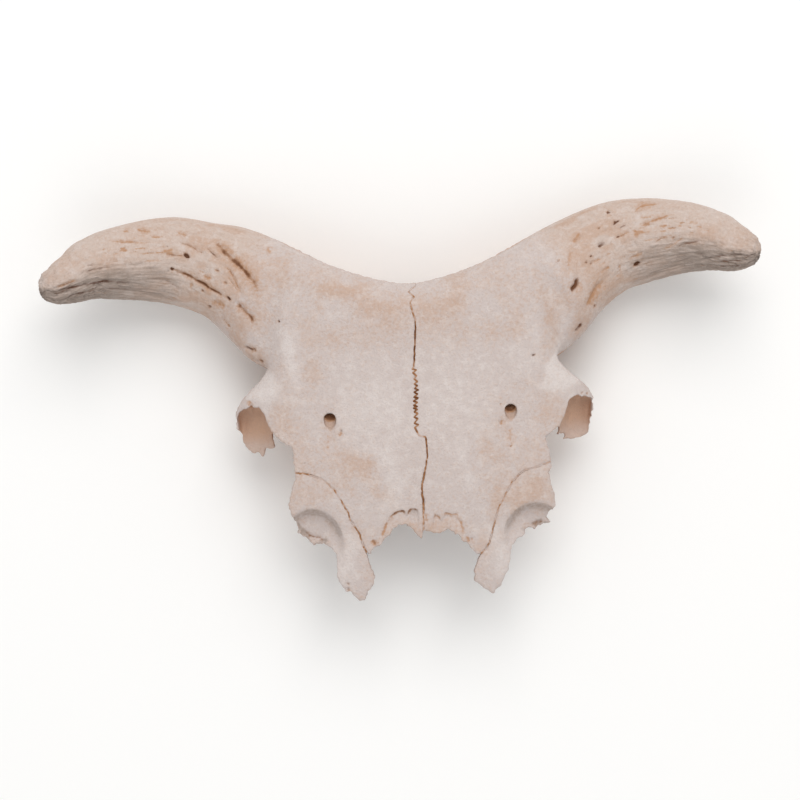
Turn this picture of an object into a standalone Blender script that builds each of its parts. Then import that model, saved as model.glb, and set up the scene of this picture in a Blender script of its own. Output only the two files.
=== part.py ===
"""Horned skull cap of a young bovine, lying on its back with the forehead facing up.

Four bones: on each side a frontal bone with its horn core, and a lacrimal bone below the orbit.
Left and right are as seen from the front. Blender units are metres, +Z up. The origin lies on the
ground under the middle of the whole, +X runs from horn tip to horn tip and +Y towards the poll.

Shapes are drawn in millimetres in the skull's own frame: x from the midline, y from the level of
the two brow holes towards the poll, z from the ground. Each side is first a rough body of
overlapping solids, fused and smoothed, and is then cut to the crisp outline of each bone.
"""

import math

import bmesh
import bpy
from mathutils import Vector

MM = 0.001

# Where the skull's own frame stands, from the middle of the whole (mm)
MIDLINE_X = 4.6
BROW_LINE_Y = -5.0

# Forehead (mm)
BROW_Z = 56.0
BROW_SIDE_FALL = 0.0007
NOSE_FALL = 0.0016
NOSE_FALL_START = -20.0
POLL_FALL = 0.003
POLL_FALL_START = 35.0
POLL_ROUNDING = 14.0
POLL_DROP = 9.0
POLL_EDGE_Y = 63.3
POLL_EDGE_SLOPE = {"left": 0.215, "right": 0.177}
POLL_EDGE_CURVE = 0.00364
POLL_EDGE_BLEND = 6.0
ORBIT_FALL = 0.012
ORBIT_FALL_START = 62.0
TEMPLE_FALL = 0.03
TEMPLE_FALL_START = 60.0
TEMPLE_FALL_Y = (10.0, 26.0)
PLATE_REACH_X = 67.0
PLATE_TEMPLE_EXTRA = 8.0
PLATE_TEMPLE_LOW_Y = (14.0, 28.0)
PLATE_TEMPLE_HIGH_Y = (72.0, 50.0)
PLATE_PAST_MIDLINE = 8.0
PLATE_LOW_Y = -98.0
PLATE_THICKNESS = 5.0
BRAINCASE_EXTRA = 5.0
BRAINCASE_EXTRA_Y = (5.0, 30.0)
NASAL_EXTRA = 2.5
NASAL_EXTRA_Y = (-38.0, -50.0)
NASAL_EXTRA_X = (34.0, 26.0)
TABLE_STEP = 3.5
TABLE_STEP_SPOT = (10.0, -56.0)

# Walls and sutures (mm)
SIDE_WALL = 5.0
POLL_WALL = 8.0
SUTURE_GAP = 0.7
LACRIMAL_GAP = 0.6
LACRIMAL_GAP_SIDEWAYS = 0.6
PROCESS_THICKNESS = 6.0
CUP_DEPTH = 13.0
CUP_DEPTH_Y = (16.0, 5.0)

# Horn cores (mm)
HORN_RIDGES = 9
HORN_RIDGE = 0.03
HORN_RIDGE_POLL_SIDE = 0.3
HORN_RIDGE_TWIST = 3.0
HORN_RIDGE_START = (0.1, 0.35)
HORN_ROOT_PUSH = -8.0
HORN_TIP_PUSH = 2.2

# Brow holes (mm)
BROW_HOLE_RADIUS = 2.9
BROW_HOLE_LEAN = 0.75
BROW_HOLE_STRETCH = 1.15
BROW_HOLE_LEVELS = (62.0, 40.0)
BROW_GROOVE_DEPTH = 1.3
BROW_GROOVE_WIDTH = 4.0
BROW_GROOVE_LENGTH = 20.0
BROW_GROOVE_START = 4.0
BROW_GROOVE_FADE = 8.0

# Fusing and simplifying
VOXEL = 1.3
SMOOTH_FACTOR = 0.5
SMOOTH_STEPS = 8
BODY_KEEP = {"frontal": 0.041, "lacrimal": 0.045}

# Faces across and down each rough solid
PLATE_FACES = (32, 68)
SIDE_WALL_FACES = (44, 16)
LACRIMAL_WALL_FACES = (22, 16)
POLL_WALL_FACES = (30, 14)
RIDGE_FACES = (24, 6)
PROCESS_FACES = (14, 24)
HORN_RINGS = 60
HORN_AROUND = 48
BROW_HOLE_AROUND = 14

# Where the cutters run clear of the bone (mm)
OUTLINE_LOW_Z = 0.0
OUTLINE_HIGH_Z = 110.0
TABLE_HIGH_Z = 90.0
TABLE_CLEARANCE_Y = (-90.0, -70.0)
TABLE_CLEARANCE_X = (5.0, 2.0)
POLL_CLEARANCE_Y = 130.0

# Suture between the frontal bones, poll to nose: straight, then a tight zigzag, then a plain crack
SUTURE_TOP = [(0.0, 61.5), (0.5, 53.5), (2.0, 46.0), (1.7, 39.0), (1.5, 33.0), (0.0, 21.5)]
SUTURE_ZIGZAG_TOP = 20.5
SUTURE_ZIGZAG_BOTTOM = -11.0
SUTURE_ZIGZAG_TEETH = 13
SUTURE_ZIGZAG_MIDDLE = 0.1
SUTURE_ZIGZAG_REACH = 0.6
SUTURE_BOTTOM = [(1.0, -12.5), (4.0, -13.5), (4.5, -18.0), (4.5, -23.5), (2.5, -32.0), (1.0, -39.0),
                 (1.5, -47.5), (1.0, -56.0), (0.7, -60.0)]

# Horn axis, root to tip: x outwards, y, z, half the width in the front view and half the depth
HORN_AXIS = {
    "left": [(54.5, 46.4, 40.5, 28.7, 11.0), (62.8, 53.0, 33.0, 30.5, 18.5),
             (72.5, 60.7, 26.8, 28.75, 25.5), (89.0, 72.4, 22.6, 25.4, 23.0),
             (105.5, 78.5, 20.3, 22.7, 20.8), (121.0, 82.2, 22.5, 21.9, 19.6),
             (143.0, 81.7, 31.0, 18.8, 17.2), (158.5, 78.9, 38.0, 16.0, 14.8),
             (168.6, 74.2, 43.0, 12.6, 12.4), (176.5, 71.4, 46.5, 10.4, 9.2),
             (182.8, 71.0, 48.5, 6.8, 5.2)],
    "right": [(51.3, 43.6, 40.5, 28.4, 11.0), (58.9, 50.0, 33.0, 29.6, 18.5),
              (67.9, 56.1, 26.8, 29.0, 25.5), (84.1, 68.0, 22.4, 25.3, 22.8),
              (101.4, 77.0, 20.3, 23.0, 20.8), (117.0, 80.1, 22.5, 21.7, 19.4),
              (138.5, 80.4, 31.0, 18.2, 16.4), (152.9, 77.3, 38.0, 15.4, 14.2),
              (162.6, 73.4, 43.0, 12.5, 11.8), (168.8, 71.9, 46.0, 10.2, 9.0),
              (173.9, 71.3, 47.5, 6.8, 5.2)],
}

# Wall under the side of the forehead, poll to nose: where its top and its free lower edge run
SIDE_WALL_TOP = [(70.0, 46.0, 44.0), (70.0, 30.0, 46.0), (68.0, 18.0, 47.0), (64.5, 6.0, 48.0),
                 (60.5, -6.0, 48.0), (58.5, -18.0, 48.0), (58.0, -30.0, 47.0), (56.5, -43.0, 44.0),
                 (49.0, -54.0, 40.0), (42.0, -62.0, 41.0)]
SIDE_WALL_FOOT = [(58.0, 46.0, 6.0), (55.0, 30.0, 12.0), (52.0, 18.0, 15.0), (49.0, 6.0, 10.0),
                  (47.5, -6.0, 3.0), (46.5, -18.0, -3.0), (46.0, -30.0, 1.0), (46.5, -42.0, 15.0),
                  (44.0, -53.0, 26.0), (41.0, -62.0, 34.0)]
ORBIT_WALL_START = 5

# Wall turned down behind the poll, midline to horn root
POLL_WALL_TOP = [(-8.0, 57.0, 46.0), (0.0, 57.0, 46.0), (18.0, 61.0, 45.0), (34.0, 66.5, 43.0),
                 (48.0, 72.5, 40.0), (60.0, 76.0, 36.0)]
POLL_WALL_FOOT = [(-8.0, 52.0, 15.0), (0.0, 52.0, 16.0), (18.0, 55.0, 11.0), (34.0, 59.0, 6.0),
                  (48.0, 62.0, 3.0), (60.0, 64.0, 2.0)]

# Ridge across the inside, between braincase and nose, and the crest along the midline
CROSS_RIDGE_TOP = [(-8.0, -8.0, 50.0), (18.0, -9.0, 50.0), (36.0, -7.0, 49.0), (54.0, -2.0, 46.0)]
CROSS_RIDGE_FOOT = [(-8.0, -10.0, 38.0), (18.0, -12.0, 37.0), (36.0, -9.0, 33.0), (52.0, -2.0, 24.0)]
CREST_TOP = [(0.0, -10.0, 50.0), (0.5, 20.0, 46.0), (0.0, 54.0, 46.0)]
CREST_FOOT = [(0.0, -10.0, 39.0), (0.5, 20.0, 42.0), (0.0, 54.0, 34.0)]
RIDGE_THICKNESS = 7.0

# Process behind the orbit: its temporal border and, across from it, the border towards the nose
PROCESS_OUTER = {
    "left": [(66.0, 34.0), (72.0, 25.0), (77.0, 18.5), (83.0, 12.5), (88.3, 7.8), (91.6, 0.0),
             (92.0, -8.0), (92.0, -24.0)],
    "right": [(66.0, 32.5), (72.0, 22.8), (78.0, 15.8), (84.0, 10.2), (88.0, 5.5), (90.5, -1.0),
              (91.0, -8.0), (91.0, -24.0)],
}
PROCESS_INNER = [(56.0, 22.0), (58.0, 10.0), (60.0, 0.0), (62.0, -8.0), (64.0, -16.0), (68.0, -22.0),
                 (74.0, -27.0), (84.0, -28.0)]

# Concave orbital face of that process, as the mouth of the hollow seen from the front
CUP_MOUTH = {
    "left": [(88.4, 2.0), (86.5, 3.6), (84.5, 5.0), (82.3, 6.2), (80.0, 5.0), (77.5, 4.0),
             (75.0, 0.5), (74.0, -3.5), (72.5, -8.0), (71.0, -12.0), (70.0, -32.0), (87.6, -32.0),
             (88.0, -6.0)],
    "right": [(87.0, 1.5), (85.0, 3.0), (82.0, 3.6), (79.0, 3.0), (76.5, 1.0), (75.0, -3.0),
              (73.0, -7.0), (71.0, -12.0), (70.0, -32.0), (85.6, -32.0), (86.5, -6.0)],
}
CUP_OPEN_END_Y = -30.0

# The hollow from above its mouth to its floor: depth below the front surface, how wide of the mouth
# and how far it draws in
CUP_LEVELS = [(-25.0, 1.0, 0.0), (8.5, 1.0, 0.0), (13.0, 0.93, 0.5), (15.0, 0.75, 1.5)]

# Suture of the lacrimal bone, from the orbit's rim down to the nasal notch
LACRIMAL_SUTURE = {
    "left": [(61.7, -28.0), (57.0, -29.0), (49.5, -31.5), (46.5, -33.5), (42.5, -38.0),
             (40.5, -41.5), (36.5, -49.0), (35.5, -53.0), (31.5, -60.0), (29.5, -67.0),
             (28.0, -69.8)],
    "right": [(65.6, -28.7), (58.0, -31.0), (53.0, -32.0), (49.5, -34.0), (45.5, -38.0),
              (43.0, -42.5), (40.5, -47.0), (38.0, -51.0), (36.5, -56.0), (34.5, -62.5),
              (33.0, -67.5), (31.0, -70.5), (28.5, -73.2)],
}

# Broken edge of each frontal bone: nasal notch, orbit's rim, then the ragged end of the process
NASAL_EDGE = {
    "left": [(0.2, -64.5), (1.5, -63.0), (5.0, -59.0), (7.5, -56.5), (11.0, -56.5), (13.5, -58.0),
             (15.5, -60.5), (19.5, -64.0), (21.0, -66.5), (24.5, -67.5), (26.5, -71.0)],
    "right": [(1.4, -60.0), (4.0, -60.5), (8.5, -62.0), (11.0, -61.0), (13.5, -59.5), (18.5, -64.0),
              (20.5, -67.0), (22.0, -67.0), (25.0, -71.5), (26.8, -73.5)],
}
ORBIT_EDGE = {
    "left": [(62.0, -27.0), (62.0, -15.5), (66.0, -13.0), (69.5, -10.5), (71.6, -9.0), (72.0, -16.0),
             (76.5, -16.0), (77.5, -20.3), (81.0, -18.3), (83.0, -18.6), (86.0, -15.5),
             (87.5, -12.5), (89.0, -7.5), (90.6, -5.5), (90.8, 2.0), (89.8, 5.0)],
    "right": [(65.4, -23.5), (63.5, -16.5), (66.5, -15.0), (69.5, -12.5), (71.5, -11.5),
              (70.5, -16.3), (75.0, -15.5), (73.0, -18.8), (77.0, -19.0), (82.0, -18.0),
              (86.5, -16.3), (87.5, -8.0), (89.0, -0.5), (88.5, 2.5), (87.0, 5.5)],
}
HORN_CLEARANCE = [(95.0, 11.0), (101.0, 25.0), (205.0, 25.0), (205.0, 130.0)]

# Free edge of each lacrimal bone, from the orbit's rim round the prong to the nasal notch
LACRIMAL_EDGE = {
    "left": [(61.5, -31.5), (64.0, -38.0), (66.0, -44.0), (64.5, -49.0), (62.5, -52.5),
             (61.5, -56.0), (62.0, -58.5), (58.0, -61.0), (54.5, -65.0), (52.5, -64.0),
             (47.5, -64.5), (43.5, -69.5), (43.0, -75.5), (43.5, -80.5), (42.5, -83.5),
             (39.0, -89.0), (37.0, -88.5), (33.0, -94.0), (30.0, -93.5), (29.0, -89.0),
             (27.5, -88.5), (26.0, -86.0), (24.5, -82.0), (26.5, -77.0)],
    "right": [(66.0, -32.0), (64.0, -33.5), (66.5, -44.0), (68.0, -46.5), (67.0, -50.5),
              (63.5, -54.5), (62.5, -56.5), (65.0, -59.5), (58.0, -61.0), (56.5, -62.5),
              (53.5, -61.0), (51.5, -61.5), (51.0, -65.0), (48.5, -66.0), (45.0, -69.5),
              (43.5, -74.0), (43.0, -77.5), (41.5, -82.5), (37.5, -90.0), (35.5, -91.0),
              (34.0, -93.5), (32.0, -91.5), (29.5, -90.5), (25.0, -86.0), (25.5, -80.5),
              (27.0, -76.0)],
}

# Where the outer layer of bone ends in scallops above a thinner ledge at the nasal notch
TABLE_SCALLOPS = {
    "left": [(19.0, -59.5), (17.5, -55.0), (15.0, -52.5), (12.0, -50.0), (8.0, -49.5), (7.0, -52.0),
             (6.0, -50.5), (3.0, -49.0), (-5.0, -50.0)],
    "right": [(22.0, -66.0), (21.0, -62.5), (19.5, -56.5), (17.5, -53.0), (13.0, -52.5),
              (11.5, -51.5), (10.0, -55.5), (8.0, -53.0), (6.5, -53.5), (-3.0, -53.5)],
}

# Shaded hollow of each lacrimal bone: centre, half sizes and depth
LACRIMAL_HOLLOW = {"left": (55.0, -64.0, 13.5, 16.0), "right": (56.0, -65.0, 15.0, 15.5)}
LACRIMAL_HOLLOW_DEPTH = 8.0
LACRIMAL_HOLLOW_FLOOR = 0.8
LACRIMAL_TOP_Y = -20.0

BROW_HOLES = {"left": (43.0, -2.5), "right": (47.0, -2.3)}
SIGN = {"left": -1.0, "right": 1.0}

BONE_COLOURS = {
    "left_frontal_bone": (0.66, 0.57, 0.50, 1.0),
    "right_frontal_bone": (0.67, 0.58, 0.50, 1.0),
    "left_lacrimal_bone": (0.64, 0.54, 0.47, 1.0),
    "right_lacrimal_bone": (0.65, 0.55, 0.47, 1.0),
}
BONE_ROUGHNESS = 0.75


def ramp(low, high, value):
    """Smooth rise from 0 at low to 1 at high; low may be the larger of the two."""
    t = min(1.0, max(0.0, (value - low) / (high - low)))
    return t * t * (3.0 - 2.0 * t)


def along(points, t):
    """Point at t from 0 to 1 on the smooth curve through the given points."""
    last = len(points) - 1
    place = min(max(t, 0.0), 1.0) * last
    i = min(int(place), last - 1)
    f = place - i
    p0, p1, p2, p3 = (points[min(max(k, 0), last)] for k in (i - 1, i, i + 1, i + 2))
    return tuple(
        0.5 * (2 * b + (c - a) * f + (2 * a - 5 * b + 4 * c - d) * f**2 + (3 * b - a - 3 * c + d) * f**3)
        for a, b, c, d in zip(p0, p1, p2, p3)
    )


def poll_edge(side, x):
    """Height in the front view of the rounded edge between the horns."""
    reach = math.hypot(x, POLL_EDGE_BLEND) - POLL_EDGE_BLEND
    return POLL_EDGE_Y + POLL_EDGE_SLOPE[side] * reach + POLL_EDGE_CURVE * reach**2


def brow_height(side, x, y):
    """Front surface of the forehead and lacrimal bone; x is measured outwards."""
    z = BROW_Z - BROW_SIDE_FALL * x**2
    z -= NOSE_FALL * max(0.0, NOSE_FALL_START - y) ** 2
    z -= POLL_FALL * max(0.0, y - POLL_FALL_START) ** 2
    z -= POLL_DROP * max(0.0, 1.0 - (poll_edge(side, x) - y) / POLL_ROUNDING) ** 2
    z -= ORBIT_FALL * max(0.0, x - ORBIT_FALL_START) ** 2
    z -= TEMPLE_FALL * max(0.0, x - TEMPLE_FALL_START) ** 2 * ramp(*TEMPLE_FALL_Y, y)
    hole_x, hole_y = BROW_HOLES[side]
    run = ramp(hole_y, hole_y - BROW_GROOVE_START, y)
    run *= ramp(hole_y - BROW_GROOVE_LENGTH, hole_y - BROW_GROOVE_FADE, y)
    z -= BROW_GROOVE_DEPTH * run * math.exp(-(((x - hole_x) / BROW_GROOVE_WIDTH) ** 2))
    centre_x, centre_y, half_x, half_y = LACRIMAL_HOLLOW[side]
    inside = math.hypot((x - centre_x) / half_x, (y - centre_y) / half_y)
    z -= LACRIMAL_HOLLOW_DEPTH * ramp(1.0, LACRIMAL_HOLLOW_FLOOR, inside)
    return z


def brow_thickness(x, y):
    """Thickness of the forehead, thicker over the braincase and at the nasal notch."""
    rear = BRAINCASE_EXTRA * ramp(*BRAINCASE_EXTRA_Y, y)
    front = NASAL_EXTRA * ramp(*NASAL_EXTRA_Y, y) * ramp(*NASAL_EXTRA_X, abs(x))
    return PLATE_THICKNESS + rear + front


def add_grid_faces(bm, rows, flip):
    """Quads between rows of vertices."""
    for lower, upper in zip(rows, rows[1:]):
        for k in range(len(lower) - 1):
            quad = (lower[k], lower[k + 1], upper[k + 1], upper[k])
            bm.faces.new(quad[::-1] if flip else quad)


def add_slab(bm, front, back, faces):
    """Closed slab between two surfaces, each a function of u and v from 0 to 1."""
    across, down = faces
    sheets = []
    for surface in (front, back):
        rows = []
        for j in range(down + 1):
            rows.append([bm.verts.new(surface(i / across, j / down)) for i in range(across + 1)])
        sheets.append(rows)
    add_grid_faces(bm, sheets[0], False)
    add_grid_faces(bm, sheets[1], True)
    for a, b in ((0, 0), (down, down)):
        add_grid_faces(bm, [sheets[0][a], sheets[1][b]], a != 0)
    for column in (0, across):
        edge = [[row[column] for row in sheet] for sheet in sheets]
        add_grid_faces(bm, edge, column == 0)


def add_plate(bm, side, top_y=math.inf):
    """Forehead, orbit roof and lacrimal bone of one side as one curved plate, up to top_y."""

    def point(u, v, sunk):
        level = PLATE_LOW_Y + v * (min(top_y, poll_edge(side, PLATE_REACH_X)) - PLATE_LOW_Y)
        temple = ramp(*PLATE_TEMPLE_LOW_Y, level) * ramp(*PLATE_TEMPLE_HIGH_Y, level)
        reach = PLATE_REACH_X + PLATE_TEMPLE_EXTRA * temple
        x = -PLATE_PAST_MIDLINE + u * (reach + PLATE_PAST_MIDLINE)
        y = PLATE_LOW_Y + v * (min(top_y, poll_edge(side, x)) - PLATE_LOW_Y)
        z = brow_height(side, x, y)
        if sunk:
            z -= brow_thickness(x, y)
        return SIGN[side] * x, y, z

    add_slab(bm, lambda u, v: point(u, v, False), lambda u, v: point(u, v, True), PLATE_FACES)


def add_wall(bm, side, top, foot, thickness, faces, step=0.02):
    """Curved wall between a top line and a free lower edge."""

    def point(u, v, offset):
        low = along(foot, u)
        high = along(top, u)
        ahead = Vector(along(top, min(1.0, u + step)))
        behind = Vector(along(top, max(0.0, u - step)))
        run = ahead - behind
        outward = Vector((-run.y, run.x, 0.0)).normalized() * offset
        x, y, z = (a + (b - a) * v for a, b in zip(low, high))
        return SIGN[side] * (x + outward.x), y + outward.y, z

    half = 0.5 * thickness
    add_slab(bm, lambda u, v: point(u, v, half), lambda u, v: point(u, v, -half), faces)


def add_process(bm, side):
    """Broken process behind the orbit, deep enough to hold its concave orbital face."""

    def point(u, v, sunk):
        inner = along(PROCESS_INNER, v)
        outer = along(PROCESS_OUTER[side], v)
        x, y = (a + (b - a) * u for a, b in zip(inner, outer))
        z = brow_height(side, x, y)
        if sunk:
            z -= PROCESS_THICKNESS + CUP_DEPTH * ramp(*CUP_DEPTH_Y, y)
        return SIGN[side] * x, y, z

    add_slab(bm, lambda u, v: point(u, v, False), lambda u, v: point(u, v, True), PROCESS_FACES)


def add_horn(bm, side, step=0.01):
    """Horn core: a tapering, slightly flattened, fluted tube with a blunt tip."""
    axis = HORN_AXIS[side]
    loops = []
    for j in range(HORN_RINGS):
        t = j / (HORN_RINGS - 1)
        x, y, z, half_width, half_depth = along(axis, t)
        ahead = Vector(along(axis, min(1.0, t + step))[:3])
        behind = Vector(along(axis, max(0.0, t - step))[:3])
        run = (ahead - behind).normalized()
        flat = Vector((-run.y, run.x, 0.0)).normalized()
        rise = run.cross(flat)
        loop = []
        for k in range(HORN_AROUND):
            angle = 2.0 * math.pi * k / HORN_AROUND
            nose_side = 0.5 - 0.5 * math.cos(angle)
            ridge = math.sin(HORN_RIDGES * angle + HORN_RIDGE_TWIST * t) * ramp(*HORN_RIDGE_START, t)
            swell = 1.0 + HORN_RIDGE * (HORN_RIDGE_POLL_SIDE + nose_side) * ridge
            spot = Vector((x, y, z)) + flat * half_width * swell * math.cos(angle)
            spot += rise * half_depth * swell * math.sin(angle)
            loop.append(bm.verts.new((SIGN[side] * spot.x, spot.y, spot.z)))
        loops.append(loop + [loop[0]])
    add_grid_faces(bm, loops, False)
    ends = ((loops[0], HORN_ROOT_PUSH, 0.0), (loops[-1], HORN_TIP_PUSH, 1.0 - 2.0 * step))
    for loop, push, start in ends:
        ring = loop[:-1]
        middle = sum((v.co for v in ring), Vector()) / len(ring)
        base = Vector(along(axis, start)[:3])
        tip = Vector(along(axis, start + 2.0 * step)[:3])
        heading = (tip - base).normalized()
        heading.x *= SIGN[side]
        pole = bm.verts.new(middle + heading * push)
        for a, b in zip(ring, ring[1:] + ring[:1]):
            bm.faces.new((a, b, pole))


def mesh_object(name, bm):
    """Turn a mesh drawn in the skull's frame in millimetres into a placed object in metres."""
    bmesh.ops.recalc_face_normals(bm, faces=bm.faces)
    bmesh.ops.scale(bm, vec=(MM, MM, MM), verts=bm.verts)
    mesh = bpy.data.meshes.new(name)
    bm.to_mesh(mesh)
    bm.free()
    obj = bpy.data.objects.new(name, mesh)
    obj.location = (MIDLINE_X * MM, BROW_LINE_Y * MM, 0.0)
    bpy.context.collection.objects.link(obj)
    return obj


def make_cutter(name, bm):
    """An object that only shapes the bones."""
    cutter = mesh_object(name, bm)
    cutter.hide_render = True
    cutter.display_type = "WIRE"
    return cutter


def make_prism(name, side, outline, low=OUTLINE_LOW_Z, high=OUTLINE_HIGH_Z):
    """Cutter with the given outline in the front view."""
    bm = bmesh.new()
    floor = [bm.verts.new((SIGN[side] * x, y, low)) for x, y in outline]
    base = bm.faces.new(floor)
    lifted = bmesh.ops.extrude_face_region(bm, geom=[base])
    roof = [item for item in lifted["geom"] if isinstance(item, bmesh.types.BMVert)]
    bmesh.ops.translate(bm, vec=(0.0, 0.0, high - low), verts=roof)
    return make_cutter(name, bm)


def middle_suture(side):
    """Outline points along the suture between the frontal bones, poll to nose, x outwards."""
    points = list(SUTURE_TOP)
    step = (SUTURE_ZIGZAG_TOP - SUTURE_ZIGZAG_BOTTOM) / (2 * SUTURE_ZIGZAG_TEETH)
    for k in range(2 * SUTURE_ZIGZAG_TEETH + 1):
        swing = SUTURE_ZIGZAG_REACH if k % 2 else -SUTURE_ZIGZAG_REACH
        points.append((SUTURE_ZIGZAG_MIDDLE + swing, SUTURE_ZIGZAG_TOP - k * step))
    points += SUTURE_BOTTOM
    return [(SIGN[side] * x + 0.5 * SUTURE_GAP, y) for x, y in points]


def lacrimal_suture(side, reach):
    """The lacrimal suture moved by reach to one of its sides, from the orbit's rim to the notch."""
    return [(x - LACRIMAL_GAP_SIDEWAYS * reach, y + reach) for x, y in LACRIMAL_SUTURE[side]]


def frontal_outline(side):
    """Front outline of a frontal bone; past the rounded edges it runs clear of the bone."""
    suture = lacrimal_suture(side, 0.5 * LACRIMAL_GAP)
    start = middle_suture(side)
    return ([(start[0][0], POLL_CLEARANCE_Y)] + start + NASAL_EDGE[side] + suture[::-1]
            + ORBIT_EDGE[side] + HORN_CLEARANCE)


def lacrimal_outline(side):
    """Front outline of a lacrimal bone."""
    return lacrimal_suture(side, -0.5 * LACRIMAL_GAP)[::-1] + LACRIMAL_EDGE[side]


def make_cup(side):
    """Cutter for the concave orbital face: straight at its mouth, rounded at its floor."""
    mouth = CUP_MOUTH[side]
    centre_x = sum(x for x, y in mouth) / len(mouth)
    bm = bmesh.new()
    loops = []
    for depth, scale, shift in CUP_LEVELS:
        loop = []
        for x, y in mouth:
            inset_x = centre_x + (x - centre_x) * scale
            inset_y = y - shift if y > CUP_OPEN_END_Y else y
            z = brow_height(side, inset_x, inset_y) - depth
            loop.append(bm.verts.new((SIGN[side] * inset_x, inset_y, z)))
        loops.append(loop + [loop[0]])
    add_grid_faces(bm, loops, False)
    bm.faces.new(loops[0][:-1])
    bm.faces.new(loops[-1][:-1])
    return make_cutter(side + "_cup_cutter", bm)


def make_brow_hole(side):
    """Cutter for the brow hole, which leans towards the poll as it goes in."""
    x, y = BROW_HOLES[side]
    bm = bmesh.new()
    loops = []
    for z in BROW_HOLE_LEVELS:
        lean = (brow_height(side, x, y) - z) * BROW_HOLE_LEAN
        loop = []
        for k in range(BROW_HOLE_AROUND):
            angle = 2.0 * math.pi * k / BROW_HOLE_AROUND
            spot_x = SIGN[side] * x + BROW_HOLE_RADIUS * math.cos(angle)
            spot_y = y + lean + BROW_HOLE_RADIUS * BROW_HOLE_STRETCH * math.sin(angle)
            loop.append(bm.verts.new((spot_x, spot_y, z)))
        loops.append(loop + [loop[0]])
    add_grid_faces(bm, loops, False)
    for loop in loops:
        bm.faces.new(loop[:-1])
    return make_cutter(side + "_brow_hole_cutter", bm)


def make_table_step(side):
    """Cutter that thins the bone below the scallops at the nasal notch."""
    outline = TABLE_SCALLOPS[side]
    low_y, high_y = TABLE_CLEARANCE_Y
    below = [(outline[-1][0], low_y), (outline[0][0] + TABLE_CLEARANCE_X[0], low_y),
             (outline[0][0] + TABLE_CLEARANCE_X[1], high_y)]
    level = brow_height(side, *TABLE_STEP_SPOT) - TABLE_STEP
    return make_prism(side + "_table_cutter", side, outline + below, level, TABLE_HIGH_Z)


def bone_material(name):
    """Dry matt bone."""
    material = bpy.data.materials.new(name)
    material.use_nodes = True
    shader = material.node_tree.nodes["Principled BSDF"]
    shader.inputs["Base Color"].default_value = BONE_COLOURS[name]
    shader.inputs["Roughness"].default_value = BONE_ROUGHNESS
    shader.inputs["Metallic"].default_value = 0.0
    return material


def fuse(bone, keep):
    """Fuse the overlapping solids of a rough body, soften them and simplify the surface."""
    remesh = bone.modifiers.new("fuse", "REMESH")
    remesh.mode = "VOXEL"
    remesh.voxel_size = VOXEL * MM
    soften = bone.modifiers.new("soften", "SMOOTH")
    soften.factor = SMOOTH_FACTOR
    soften.iterations = SMOOTH_STEPS
    simplify = bone.modifiers.new("simplify", "DECIMATE")
    simplify.ratio = keep


def cut(bone, cutter, operation):
    """Live exact Boolean."""
    step = bone.modifiers.new(cutter.name, "BOOLEAN")
    step.operation = operation
    step.solver = "EXACT"
    step.object = cutter


def make_frontal(side):
    """Frontal bone with its horn core."""
    name = side + "_frontal_bone"
    bm = bmesh.new()
    add_plate(bm, side)
    add_wall(bm, side, SIDE_WALL_TOP, SIDE_WALL_FOOT, SIDE_WALL, SIDE_WALL_FACES)
    add_wall(bm, side, POLL_WALL_TOP, POLL_WALL_FOOT, POLL_WALL, POLL_WALL_FACES)
    add_wall(bm, side, CROSS_RIDGE_TOP, CROSS_RIDGE_FOOT, RIDGE_THICKNESS, RIDGE_FACES)
    add_wall(bm, side, CREST_TOP, CREST_FOOT, RIDGE_THICKNESS, RIDGE_FACES)
    add_process(bm, side)
    add_horn(bm, side)
    bone = mesh_object(name, bm)
    bone.data.materials.append(bone_material(name))
    fuse(bone, BODY_KEEP["frontal"])
    prism = make_prism(side + "_frontal_outline", side, frontal_outline(side))
    cut(bone, prism, "INTERSECT")
    cut(bone, make_cup(side), "DIFFERENCE")
    cut(bone, make_table_step(side), "DIFFERENCE")
    cut(bone, make_brow_hole(side), "DIFFERENCE")
    return bone


def make_lacrimal(side):
    """Lacrimal bone with its prong and its share of the orbit's inner wall."""
    name = side + "_lacrimal_bone"
    bm = bmesh.new()
    add_plate(bm, side, LACRIMAL_TOP_Y)
    top, foot = SIDE_WALL_TOP[ORBIT_WALL_START:], SIDE_WALL_FOOT[ORBIT_WALL_START:]
    add_wall(bm, side, top, foot, SIDE_WALL, LACRIMAL_WALL_FACES)
    bone = mesh_object(name, bm)
    bone.data.materials.append(bone_material(name))
    fuse(bone, BODY_KEEP["lacrimal"])
    prism = make_prism(side + "_lacrimal_outline", side, lacrimal_outline(side))
    cut(bone, prism, "INTERSECT")
    return bone


def main():
    for obj in list(bpy.data.objects):
        bpy.data.objects.remove(obj, do_unlink=True)
    for side in ("left", "right"):
        make_frontal(side)
        make_lacrimal(side)


main()
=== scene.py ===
"""Horned skull cap of a young bovine: weathered bone surfaces, a pale floor, soft light and a camera.

Every bone is drawn in millimetres in the skull's own frame: x outwards from the midline, y from the
level of the two brow holes towards the poll, z from the ground. Each bone starts as a rough body of
overlapping solids, is fused, cut to its broken outline and fused again finely, and then every
vertex is moved and stained by the grooves, pits, pores and breaks that the dry bone shows.
"""

import itertools
import math

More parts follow.
